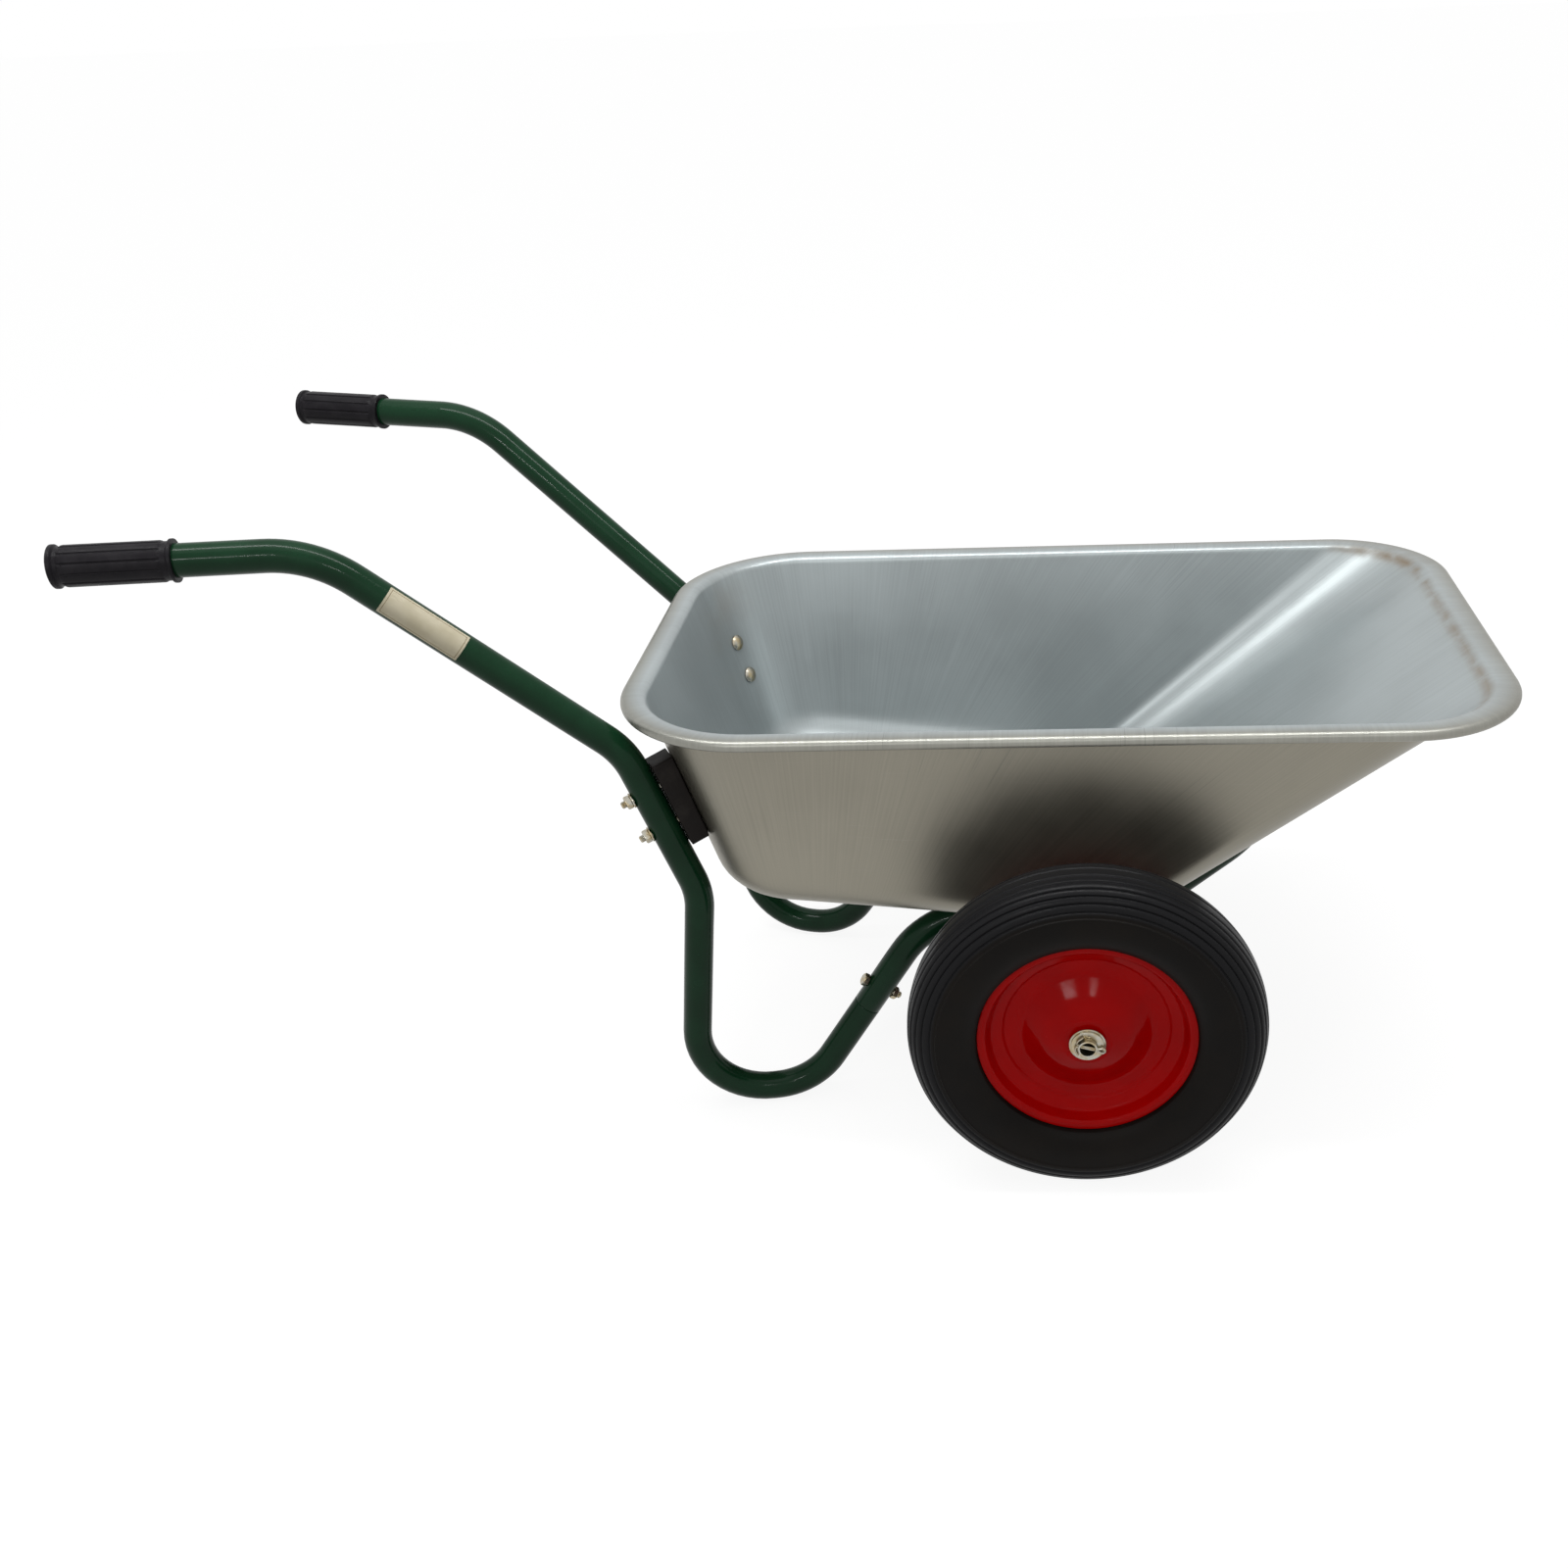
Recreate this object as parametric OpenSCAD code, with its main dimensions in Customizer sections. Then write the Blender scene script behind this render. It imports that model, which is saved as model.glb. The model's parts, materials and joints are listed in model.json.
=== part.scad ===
// Two-wheel wheelbarrow: a pressed sheet tray on a bent tube frame, on two air-tyred wheels.
// Millimetres. +X points forward to the tray's nose, +Y to the user's left, +Z up, and the ground is Z = 0.
// Sizes are worked out with X = 0 at the axle, and the finished pieces are then moved so that the origin
// lies on the ground at the middle of the whole length.

/* [Wheels] */
// Outside diameter of the tyre
wheel_d = 375; // [340:1:410]
// Section width of the tyre
tyre_w = 80; // [72:1:90]
// Thickness of the tyre's casing
tyre_wall = 7; // [5:0.5:9]
// Depth of the grooves between the tread ribs
groove_d = 1.4; // [0.5:0.1:3]
// Wall of the inner tube
inner_tube_wall = 1.5; // [1:0.1:3]
// Distance between the middle planes of the two wheels
track = 628; // [600:1:700]
// Diameter over the rim's flanges
rim_d = 228; // [220:1:240]
// Diameter of the seat that carries the tyre's beads
seat_d = 202; // [192:1:208]
// Width over the rim's two flanges
rim_w = 50; // [44:1:58]
// Sheet thickness of the rim halves
rim_t = 2; // [1.5:0.1:3]
// Diameter at which the trough ends and the disc's cone starts
cone_d = 156; // [130:1:170]
// Diameter of the flat boss at the cone's tip
boss_d = 52; // [46:1:70]
// Length of the hub tube
hub_l = 56; // [50:1:66]
// Outside diameter of the hub tube
hub_d = 34; // [32:1:40]
// Outside diameter of the bushes in the hub
bush_d = 26; // [24:0.5:28]
// Length of each bush inside the hub
bush_l = 18; // [10:1:24]
// Thickness of the bush's flange
bush_flange_t = 1.5; // [1:0.1:3]
// Diameter of the valve's stem
valve_d = 8; // [6:0.5:10]
// Length of the valve below the rim's seat
valve_l = 30; // [20:1:36]

/* [Axle] */
// Outside diameter of the hollow axle
axle_d = 20; // [18:0.5:22]
// Wall of the axle
axle_wall = 2; // [1.5:0.1:4]
// Gap between the axle and the frame rails above it
axle_gap = 1; // [0.5:0.1:6]
// Length of axle beyond the middle of the split pin
axle_end = 4.5; // [4:0.5:12]
// Outside diameter of the spacer sleeve between bracket and wheel
spacer_d = 26; // [24:0.5:32]
// Diameter of the washer next to the hub
wide_washer_d = 38; // [34:1:44]
// Diameter of the washer next to the split pin
narrow_washer_d = 34; // [30:1:38]
// Thickness of the axle washers
axle_washer_t = 2; // [1:0.1:3]
// Diameter of the split pin
pin_d = 3.6; // [3:0.1:5]
// Turn of the split pin about the axle
pin_turn = 14; // [0:1:90]
// Plate thickness of the axle brackets
bracket_t = 4; // [3:0.5:6]
// Distance from the axle to the front bracket bolt
bracket_bolt_front = 3; // [1:1:8]
// Distance from the axle to the rear bracket bolt
bracket_bolt_back = 50; // [40:1:56]

/* [Tray] */
// Length of the floor between its sharp corners
floor_l = 438; // [410:1:450]
// Width of the floor between its sharp corners
floor_w = 427; // [410:1:450]
// Distance from the axle forward to the floor's front edge
floor_front = 45; // [35:1:55]
// Fall of the floor from back to front
floor_fall = 44; // [30:1:60]
// Corner radius of the floor at the back
floor_back_r = 75; // [64:1:90]
// Corner radius of the floor at the nose
floor_front_r = 60; // [58:1:80]
// Radius between the floor and the walls
floor_fillet_r = 55; // [40:1:60]
// Depth of the tray at the floor's front edge
tray_depth = 276; // [250:0.5:300]
// Length of the mouth at the top of the walls
mouth_l = 871; // [840:1:900]
// Width of the mouth at the top of the walls
mouth_w = 527; // [510:1:550]
// Rise of the mouth from back to front
mouth_rise = 5; // [0:0.5:12]
// Lean of the back wall, from the floor's back edge to the mouth
back_lean = 66.5; // [56:0.5:80]
// Corner radius of the mouth at the back
mouth_back_r = 124; // [110:1:145]
// Corner radius of the mouth at the nose
mouth_front_r = 101; // [90:1:120]
// Sheet thickness of the tray
sheet_t = 1; // [0.8:0.1:2]
// Width of the rim's flange, from the wall to the middle of the bead
flange_w = 20; // [16:1:26]
// Radius of the bend between the wall and the flange
flange_bend_r = 8; // [5:0.5:10]
// Radius of the rolled bead around the rim
bead_r = 6; // [4:0.5:7]
// Depth of the pressed dishes that sink the fixing bolts
dish_depth = 5; // [4.6:0.1:7]
// Radius of the pressed dishes at the sheet
dish_r = 17; // [15:0.5:20]

/* [Frame] */
// Outside diameter of the frame tube
tube_d = 32; // [30:0.5:34]
// Wall of the frame tube
tube_wall = 1.5; // [1.2:0.1:2.5]
// Toe of each handle's plane away from straight ahead
toe = 10.8; // [8:0.1:13]
// Distance of each leg from the side of the mouth
leg_inset = 78.3; // [72:0.1:88]
// Half the distance between the hoop's rails at their back ends
rail_y = 148.5; // [144:0.5:151]
// Toe of the rails towards the nose
rail_toe = 5.5; // [3:0.5:8]
// Horizontal reach from the foot to the handle's end
handle_reach = 605; // [570:1:640]
// Length of the level handle up to its bend
handle_run = 228; // [200:1:250]
// Height of the handle's bend
handle_h = 693; // [650:1:740]
// Rise of the level handle to its end
handle_rise = 6; // [0:1:30]
// Distance of the bend above the spacer block behind the foot
bend_back = 116.5; // [108:0.5:124]
// Distance of that bend below the mouth
bend_drop = 45.5; // [38:0.5:56]
// Distance of the knee behind the foot
knee_back = 58; // [52:0.5:64]
// Height of the knee above the back of the floor
knee_rise = 9; // [0:0.5:16]
// Distance of the foot's back corner behind the foot
foot_back = 91; // [84:0.5:96]
// Distance of the foot's front corner ahead of the foot
foot_front = 47; // [42:0.5:54]
// Bend radius at the handle
handle_bend_r = 120; // [90:1:130]
// Bend radius above and below the spacer block
block_bend_r = 88; // [60:1:90]
// Bend radius of the foot
foot_bend_r = 80; // [60:1:90]
// Bend radius where the hoop turns under the floor
hoop_back_bend_r = 106; // [80:1:110]
// Bend radius of the hoop's front corners
hoop_front_bend_r = 70; // [50:1:90]
// Length of the hoop up the nose, along the slope
hoop_reach = 196; // [170:1:220]
// Distance along the tube from the foot's front corner to the seam with the hoop
seam_run = 121; // [110:1:130]
// Length of the leg's reduced end inside the hoop
spigot_l = 50; // [42:1:60]
// Distance from the seam to the splice bolt
splice_bolt_run = 27; // [20:1:30]

/* [Spacer block] */
// Length of the block along the tube
block_l = 100; // [90:1:104]
// Width of the block
block_w = 34; // [30:1:40]
// Thickness of the block between the tube and the tray
block_t = 22.5; // [18:0.5:28]
// Distance along the tube from the bend to the middle of the block
block_run = 74; // [72:0.5:80]
// Turn of the block about the tube, to face the tray's corner
block_turn = 17; // [10:0.5:24]
// Distance between the two bolts through the block
block_bolt_pitch = 44; // [36:1:56]

/* [Grips and label] */
// Length of the grip
grip_l = 110; // [96:1:130]
// Diameter of the grip's plain body
grip_d = 36.6; // [35.5:0.1:38]
// Diameter of the collars at the grip's ends
grip_collar_d = 41; // [39:0.5:44]
// Number of ribs along the grip
grip_ribs = 12; // [8:1:16]
// Thickness of the grip's closed end
grip_cap_t = 4; // [3:0.5:8]
// Length of the plain label on the right handle
label_l = 86; // [60:1:110]
// Angle that the label covers around the tube
label_wrap = 112; // [80:1:160]
// Distance along the tube from the handle's bend to the middle of the label
label_run = 117; // [110:1:130]

/* [Fasteners] */
// Diameter of the bolts
bolt_d = 8; // [6:0.5:8]
// Width across the flats of the nuts and hexagon heads
hex_w = 13; // [12:0.5:14]
// Height of the nuts and hexagon heads
hex_h = 6.5; // [5:0.1:7]
// Diameter of the domed bolt heads
dome_d = 19; // [17:0.5:20]
// Height of the domed bolt heads
dome_h = 4; // [3:0.1:4.2]
// Diameter of the washers under the nuts
washer_d = 17; // [16:0.5:20]
// Thickness of the washers under the nuts
washer_t = 1.6; // [1:0.1:2]

/* [Hidden] */
$fn = 48;

// Fits and overruns
running_gap = 0.05;
seat_gap = 0.2;
end_gap = 0.4;
hole_gap = 0.3;
overrun = 20;
thread_over = 5;
lap = 0.8;
run_lap = 1;
bend_thin = 0.03;

// Numbers of steps in rounded outlines
corner_steps = 8;
side_steps = 4;
fillet_steps = 6;
bend_steps = 4;
bead_steps = 10;
arc_steps = 6;
section_step = 6.6;
ring_steps = 36;

// Vector helpers
function unit(v) = v / norm(v);
function mix(a, b, f) = a + (b - a) * f;
function last(v) = len(v) - 1;
function reversed(v) = [for (i = [last(v):-1:0]) v[i]];
function turned_between(a, b, f) =
    let (w = acos(a * b)) (sin((1 - f) * w) * a + sin(f * w) * b) / sin(w);

// Radii
wheel_r = wheel_d / 2;
rim_r = rim_d / 2;
seat_r = seat_d / 2;
axle_r = axle_d / 2;
tube_r = tube_d / 2;
tube_in_r = tube_r - tube_wall;
bolt_r = bolt_d / 2;
bolt_hole_r = bolt_r + hole_gap;

// Rails under the floor: they clear the axle below and carry the tray's dishes above
floor_slope = -floor_fall / floor_l;
floor_tilt = atan(floor_slope);
rail_offset = sheet_t + dish_depth + seat_gap + tube_r;
rail_z0 = wheel_r + axle_r + axle_gap + tube_r;
function rail_z(x) = rail_z0 + floor_slope * x;
function floor_z(x) = rail_z(x) + rail_offset / cos(floor_tilt);

// Places of the tray's edges
floor_back = floor_front - floor_l;
mouth_back = floor_back - back_lean;
mouth_front = mouth_back + mouth_l;
function mouth_z(x) = floor_z(floor_front) + tray_depth + (x - floor_front) * mouth_rise / mouth_l;
nose_angle = atan2(mouth_z(mouth_front) - floor_z(floor_front), mouth_front - floor_front);

// Rounded outlines of the floor and of the mouth: corner middles and corner radii
function corner_middles(back, front, half_w, back_r, front_r) = [
    [front - front_r, half_w - front_r], [back + back_r, half_w - back_r],
    [back + back_r, back_r - half_w], [front - front_r, front_r - half_w]
];
floor_middles = corner_middles(floor_back, floor_front, floor_w / 2, floor_back_r, floor_front_r);
floor_radii = [floor_front_r, floor_back_r, floor_back_r, floor_front_r];
mouth_middles = corner_middles(mouth_back, mouth_front, mouth_w / 2, mouth_back_r, mouth_front_r);
mouth_radii = [mouth_front_r, mouth_back_r, mouth_back_r, mouth_front_r];

// A station is [corner, angle, share of the way to the next corner]
quarter = 90;
stations = [
    for (i = [0:3])
        each concat(
            [for (k = [0:corner_steps]) [i, quarter * (i + k / corner_steps), 0]],
            [for (k = [1:side_steps - 1]) [i, quarter * (i + 1), k / side_steps]]
        )
];
function outward(st) = [cos(st[1]), sin(st[1])];
function outline_point(st, middles, radii) =
    let (j = (st[0] + 1) % 4)
    mix(middles[st[0]], middles[j], st[2]) + mix(radii[st[0]], radii[j], st[2]) * outward(st);
function floor_corner(st) =
    let (p = outline_point(st, floor_middles, floor_radii)) [p.x, p.y, floor_z(p.x)];
function mouth_corner(st) =
    let (p = outline_point(st, mouth_middles, mouth_radii)) [p.x, p.y, mouth_z(p.x)];

// An arc of radius r about the middle of a rounded corner, from leg a to leg b, both unit directions
function corner_leg(r, a, b) = r / tan(acos(a * b) / 2);
function corner_middle(p, r, a, b) = p + unit(a + b) * r / sin(acos(a * b) / 2);
function corner_arc(p, r, arc_r, a, b, steps) =
    let (
        m = corner_middle(p, r, a, b),
        leg = corner_leg(r, a, b),
        v0 = (p + a * leg - m) / r,
        v1 = (p + b * leg - m) / r
    )
    [for (k = [0:steps]) m + turned_between(v0, v1, k / steps) * arc_r];

// Bead around the rim's edge, from its top round to the flange's underside
bead_close = 180 + asin(1 - sheet_t / bead_r);
function bead_points(edge, out) = [
    for (k = [0:bead_steps])
        let (a = quarter - k * (quarter + bead_close) / bead_steps)
        edge - [0, 0, bead_r] + bead_r * (cos(a) * out + sin(a) * [0, 0, 1])
];

// Closed section of the tray at a station: up the inside, round the bead and down the outside
function tray_section(st) =
    let (
        foot = floor_corner(st),
        top = mouth_corner(st),
        e = outward(st),
        up = unit(top - foot),
        out = [e.x, e.y, 0],
        inward = unit([-e.x, -e.y, -e.x * floor_slope]),
        lip_r = flange_bend_r + sheet_t
    )
    concat(
        corner_arc(foot, floor_fillet_r, floor_fillet_r, inward, up, fillet_steps),
        corner_arc(top, lip_r, lip_r, -up, out, bend_steps),
        bead_points(top + out * flange_w, out),
        corner_arc(top, lip_r, flange_bend_r, out, -up, bend_steps),
        corner_arc(foot, floor_fillet_r, floor_fillet_r + sheet_t, up, inward, fillet_steps)
    );

// Handle path in its own upright plane: distance ahead of the foot, and height
floor_back_z = floor_z(floor_back);
handle_end = [-handle_reach, handle_h + handle_rise];
handle_bend = [handle_run - handle_reach, handle_h];
block_bend = [-bend_back, mouth_z(mouth_back) - bend_drop];
knee = [-knee_back, floor_back_z + knee_rise];
foot_rear = [-foot_back, tube_r];
foot_fore = [foot_front, tube_r];

// The block faces the tray's back corner. Its frame lies on the tube: along, across and through.
leg_y = mouth_w / 2 - leg_inset;
along_2d = unit(knee - block_bend);
block_2d = block_bend + along_2d * block_run;
plane_side = [sin(toe), cos(toe), 0];
function from_plane(v) = [v.x * cos(toe), -v.x * sin(toe), v.y];
block_along = from_plane(along_2d);
block_square = from_plane([-along_2d.y, along_2d.x]);
block_through = cos(block_turn) * block_square - sin(block_turn) * plane_side;
block_across = cross(block_along, block_through);
block_axis = [0, leg_y, 0] + from_plane(block_2d);
block_depth = tube_r + seat_gap + block_t + seat_gap + sheet_t;

// The tray's flat tangent at an angle of the back left corner, and where the block's axis meets it
back_corner = 1;
function wall_foot(a) = floor_corner([back_corner, a, 0]);
function wall_up(a) = unit(mouth_corner([back_corner, a, 0]) - wall_foot(a));
function wall_out(a) = unit(cross([-sin(a), cos(a), 0], wall_up(a)));
function leg_place(a) =
    let (n = wall_out(a))
    ((wall_foot(a) - block_axis) * n - block_depth * (block_through * n)) / n.x;
function met_angle(a) =
    let (
        hit = block_axis + [leg_place(a), 0, 0] + block_through * block_depth,
        f = (hit.z - wall_foot(a).z) / (mouth_corner([back_corner, a, 0]).z - wall_foot(a).z),
        m = mix(floor_middles[back_corner], mouth_middles[back_corner], f)
    )
    min(2 * quarter, max(quarter, atan2(hit.y - m.y, hit.x - m.x)));
function settled_angle(a, rounds) = rounds < 1 ? a : settled_angle(met_angle(a), rounds - 1);
seat_rounds = 30;
seat_angle = settled_angle(1.5 * quarter, seat_rounds);
seat_foot = wall_foot(seat_angle);
seat_out = wall_out(seat_angle);
leg_x = leg_place(seat_angle);
block_middle = block_axis + [leg_x, 0, 0];
block_places = [-block_bolt_pitch / 2, block_bolt_pitch / 2];
function block_bolt_axis(p) = block_middle + block_along * p;
function to_tray(p) =
    ((seat_foot - block_bolt_axis(p)) * seat_out) / (block_through * seat_out);

// A flat head in the tray's corner rests on its rim, lifted by the corner's curve and the block's tilt
back_corner_r = min(floor_back_r, mouth_back_r);
seat_tilt = acos(-(block_through * seat_out));
corner_lift = back_corner_r - sqrt(pow(back_corner_r, 2) - pow(dome_d / 2, 2));
head_lift = dome_d / 2 * tan(seat_tilt) + corner_lift + end_gap;

// Paths of the tubes on the left side
function in_plane(p) = [leg_x, leg_y, 0] + from_plane(p);
rail_start_x = leg_x + (leg_y - rail_y) / tan(toe);
rail_start = [rail_start_x, rail_y, rail_z(rail_start_x)];
function rail_point(x) = [x, rail_y - (x - rail_start_x) * tan(rail_toe), rail_z(x)];
seam_along = unit(rail_start - in_plane(foot_fore));
seam = in_plane(foot_fore) + seam_along * seam_run;
handle_path = [
    in_plane(handle_end), in_plane(handle_bend), in_plane(block_bend),
    in_plane(knee), in_plane(foot_rear), in_plane(foot_fore), seam
];

// The foot's two bends share the run between its corners
function turn_at(path, i) = acos(unit(path[i] - path[i - 1]) * unit(path[i + 1] - path[i]));
foot_corner = 4;
foot_room = (foot_back + foot_front - 2 * run_lap)
    / (tan(turn_at(handle_path, foot_corner) / 2) + tan(turn_at(handle_path, foot_corner + 1) / 2));
foot_r = min(foot_bend_r, foot_room);
handle_bends = [0, handle_bend_r, block_bend_r, block_bend_r, foot_r, foot_r, 0];

// The rails bend up the nose at the same distance from the sheet as under the floor
nose_bend_r = floor_fillet_r + rail_offset;
half_bend = (nose_angle - floor_tilt) / 2;
rail_nose = rail_point(floor_front + rail_offset * sin(floor_tilt + half_bend) / cos(half_bend));
nose_along = unit([cos(nose_angle), -cos(nose_angle) * tan(rail_toe), sin(nose_angle)]);
rail_top = rail_nose + nose_along * hoop_reach;
function mirrored(p) = [p.x, -p.y, p.z];
hoop_half = [seam, rail_start, rail_nose, rail_top];
hoop_half_bends = [0, hoop_back_bend_r, nose_bend_r, hoop_front_bend_r];
hoop_path = concat(hoop_half, [for (p = reversed(hoop_half)) mirrored(p)]);
hoop_bends = concat(hoop_half_bends, reversed(hoop_half_bends));

// Bolts that hold the tray on the rails: [point on the inside of the sheet, direction out of the sheet]
floor_bolt_back = 92;
nose_bolt_run = 52;
floor_down = [sin(floor_tilt), 0, -cos(floor_tilt)];
nose_down = [sin(nose_angle), 0, -cos(nose_angle)];
tray_bolt_places = [
    [rail_point(-floor_bolt_back) - floor_down * rail_offset, floor_down],
    [rail_nose + nose_along * nose_bolt_run - nose_down * rail_offset, nose_down]
];
dish_flat_r = dome_d / 2 + hole_gap;

// Bracket bolts, as distance along the rail from above the axle and height, and the splice bolt
bracket_places = [
    for (run = [-bracket_bolt_front, -bracket_bolt_back]) [run, rail_z(run * cos(rail_toe))]
];
splice_point = seam + seam_along * splice_bolt_run;
splice_across = unit(cross(seam_along, plane_side));

// Along the axle, outward from the middle plane
bracket_half = tube_r + seat_gap + bracket_t;
spacer_y = rail_point(0).y + seat_gap
    + (bracket_half + spacer_d / 2 * sin(rail_toe)) / cos(rail_toe);
hub_end = hub_l / 2 + bush_flange_t;
wide_washer_y = track / 2 + hub_end + end_gap;
narrow_washer_y = wide_washer_y + axle_washer_t;
pin_y = narrow_washer_y + axle_washer_t + seat_gap + pin_d / 2;
axle_half = pin_y + axle_end;
inner_washer_y = track / 2 - hub_end - end_gap - axle_washer_t;

// Rim half: the visible face from the flange to the hub, as distance from the axle and from the middle plane
flange_y = rim_w / 2;
flange_curve_r = 8;
trough_curve_r = 6;
boss_rise = 1.5;
seat_face_r = seat_r - rim_t;
function flange_arc(inset) = [
    for (k = [0:arc_steps])
        let (a = quarter * k / arc_steps)
        [seat_face_r + flange_curve_r - (flange_curve_r - inset) * sin(a),
         flange_y - flange_curve_r + (flange_curve_r - inset) * cos(a)]
];
function trough_arc() = [
    for (k = [0:arc_steps])
        let (a = quarter * k / arc_steps)
        [seat_face_r - trough_curve_r + trough_curve_r * cos(a), rim_t + trough_curve_r * (1 - sin(a))]
];
boss_y = hub_l / 2 - boss_rise;
rim_face = concat(
    [[rim_r, flange_y]], flange_arc(0), trough_arc(),
    [[cone_d / 2, rim_t], [boss_d / 2, boss_y], [hub_d / 2 + running_gap, boss_y]]
);

// A sheet of even thickness to the left of a line of points
function side_of(a, b) = let (d = unit(b - a)) [-d.y, d.x];
function mitre(v, i) =
    i == 0 ? side_of(v[0], v[1])
    : i == last(v) ? side_of(v[i - 1], v[i])
    : let (n0 = side_of(v[i - 1], v[i]), m = unit(n0 + side_of(v[i], v[i + 1]))) m / (m * n0);
function thickened(v, t) = concat(v, reversed([for (i = [0:last(v)]) v[i] + mitre(v, i) * t]));

// Tyre section: a rounded oval about its own middle, with the beads inside the flanges
bead_rise = 5.5;
section_power = 2.6;
crown_angle = 80;
bead_angle = 137;
cavity_angle = 128;
toe_share = 0.6;
section_c = (wheel_r + seat_r + bead_rise) / 2;
section_h = wheel_r - section_c;
function eased(v) = sign(v) * pow(abs(v), 2 / section_power);
function section_point(a, inset) =
    [section_c + (section_h - inset) * eased(cos(a)), (tyre_w / 2 - inset) * eased(sin(a))];
function grooved(i) = i % 2 == 1 && i * section_step < crown_angle ? groove_d : 0;
bead_gap = rim_t + seat_gap;
tyre_half = concat(
    [for (i = [0:floor(bead_angle / section_step)]) section_point(i * section_step, grooved(i))],
    [[rim_r + end_gap, flange_y - bead_gap]],
    flange_arc(bead_gap),
    [[seat_r + seat_gap, flange_y * toe_share]],
    [for (a = [cavity_angle:-section_step:0]) section_point(a, tyre_wall)],
    [section_point(0, tyre_wall)]
);
tyre_outline = concat(tyre_half, [for (i = [last(tyre_half) - 1:-1:1]) [tyre_half[i].x, -tyre_half[i].y]]);
ring_step = 4 * quarter / ring_steps;
function ring_outline(inset) = [for (a = [0:ring_step:4 * quarter - ring_step]) section_point(a, inset)];
tube_inset = tyre_wall + end_gap;
valve_y = seat_gap + hole_gap + valve_d / 2 - flange_y * toe_share;
valve_top_r = section_c - section_h + tube_inset - seat_gap;

// Grip section, from its closed end along the tube
grip_edge_r = 3;
grip_collar_l = 5;
grip_plain_l = 12;
grip_rib_r = 2.4;
grip_rib_rise = 1.2;
grip_bore_r = tube_r + running_gap;
grip_outline = [
    [0, 0], [grip_collar_d / 2 - grip_edge_r, 0], [grip_collar_d / 2, grip_edge_r],
    [grip_collar_d / 2, grip_collar_l], [grip_d / 2, grip_collar_l + grip_edge_r],
    [grip_d / 2, grip_l - grip_collar_l], [grip_collar_d / 2, grip_l - grip_edge_r],
    [grip_collar_d / 2, grip_l], [0, grip_l]
];
handle_out = unit(in_plane(handle_end) - in_plane(handle_bend));
grip_tip = in_plane(handle_end) + handle_out * (grip_cap_t + seat_gap);

// Middle of the whole length, from the rim's bead to the back of the grips
rearmost = max([for (p = grip_outline) -p.y * -handle_out.x + p.x * sqrt(1 - pow(handle_out.x, 2))]);
length_middle = (mouth_front + flange_w + bead_r + grip_tip.x - rearmost) / 2;

// Placing helpers
module placed() {
    translate([-length_middle, 0, 0]) children();
}
module on_both_sides() {
    for (m = [0, 1]) mirror([0, m, 0]) children();
}
module framed(o, x, y, z) {
    multmatrix([
        [x.x, y.x, z.x, o.x], [x.y, y.y, z.y, o.y], [x.z, y.z, z.z, o.z], [0, 0, 0, 1]
    ]) children();
}
module pointed(o, z) {
    helper = abs(z.y) < cos(quarter / 2) ? [0, 1, 0] : [1, 0, 0];
    x = unit(cross(helper, z));
    framed(o, x, cross(z, x), z) children();
}
module on_wheel(side) {
    placed() translate([0, side * track / 2, wheel_r]) rotate([-quarter * side, 0, 0]) children();
}

// Shared shapes
module disc_ring(r_out, r_in, h) {
    linear_extrude(h) ring(r_out, r_in);
}
module ring(r_out, r_in) {
    difference() {
        circle(r_out);
        circle(r_in);
    }
}
// A hollow tube along straight runs joined by round bends. The wall thins a little in the bends,
// and each straight run laps a little way into them.
module bent_tube(path, bends) {
    n = last(path);
    along = [for (i = [0:n - 1]) unit(path[i + 1] - path[i])];
    turn = [for (i = [0:n]) i == 0 || i == n ? 0 : turn_at(path, i)];
    leg = [for (i = [0:n]) bends[i] * tan(turn[i] / 2)];
    lapped = [for (i = [0:n]) i == 0 || i == n ? 0 : leg[i] - run_lap];
    for (i = [0:n - 1]) {
        run = norm(path[i + 1] - path[i]) - lapped[i] - lapped[i + 1];
        pointed(path[i] + along[i] * lapped[i], along[i]) disc_ring(tube_r, tube_in_r, run);
    }
    for (i = [1:n - 1]) {
        k = unit(cross(along[i - 1], along[i]));
        from_middle = -cross(k, along[i - 1]);
        middle = path[i] - along[i - 1] * leg[i] - from_middle * bends[i];
        framed(middle, from_middle, along[i - 1], k)
            rotate_extrude(angle = turn[i])
                translate([bends[i], 0]) ring(tube_r - bend_thin, tube_in_r + bend_thin);
    }
}
// A bolt shank along +Z, with a share of its length behind the origin
module shank(from, to) {
    translate([0, 0, from]) cylinder(r = bolt_r, h = to - from);
}
module hole(from, to) {
    translate([0, 0, from]) cylinder(r = bolt_hole_r, h = to - from);
}
// Domed head on the XY plane, rising along -Z
module dome() {
    dome_sphere_r = (pow(dome_d / 2, 2) + pow(dome_h, 2)) / (2 * dome_h);
    intersection() {
        translate([0, 0, dome_sphere_r - dome_h]) sphere(dome_sphere_r);
        translate([0, 0, -overrun]) cylinder(d = dome_d + overrun, h = overrun);
    }
}
module hex_head() {
    cylinder(d = hex_w / cos(quarter / 3), h = hex_h, $fn = 6);
}
module hex_nut() {
    difference() {
        hex_head();
        translate([0, 0, -overrun]) cylinder(r = bolt_r + running_gap, h = 2 * overrun);
    }
}

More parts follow.
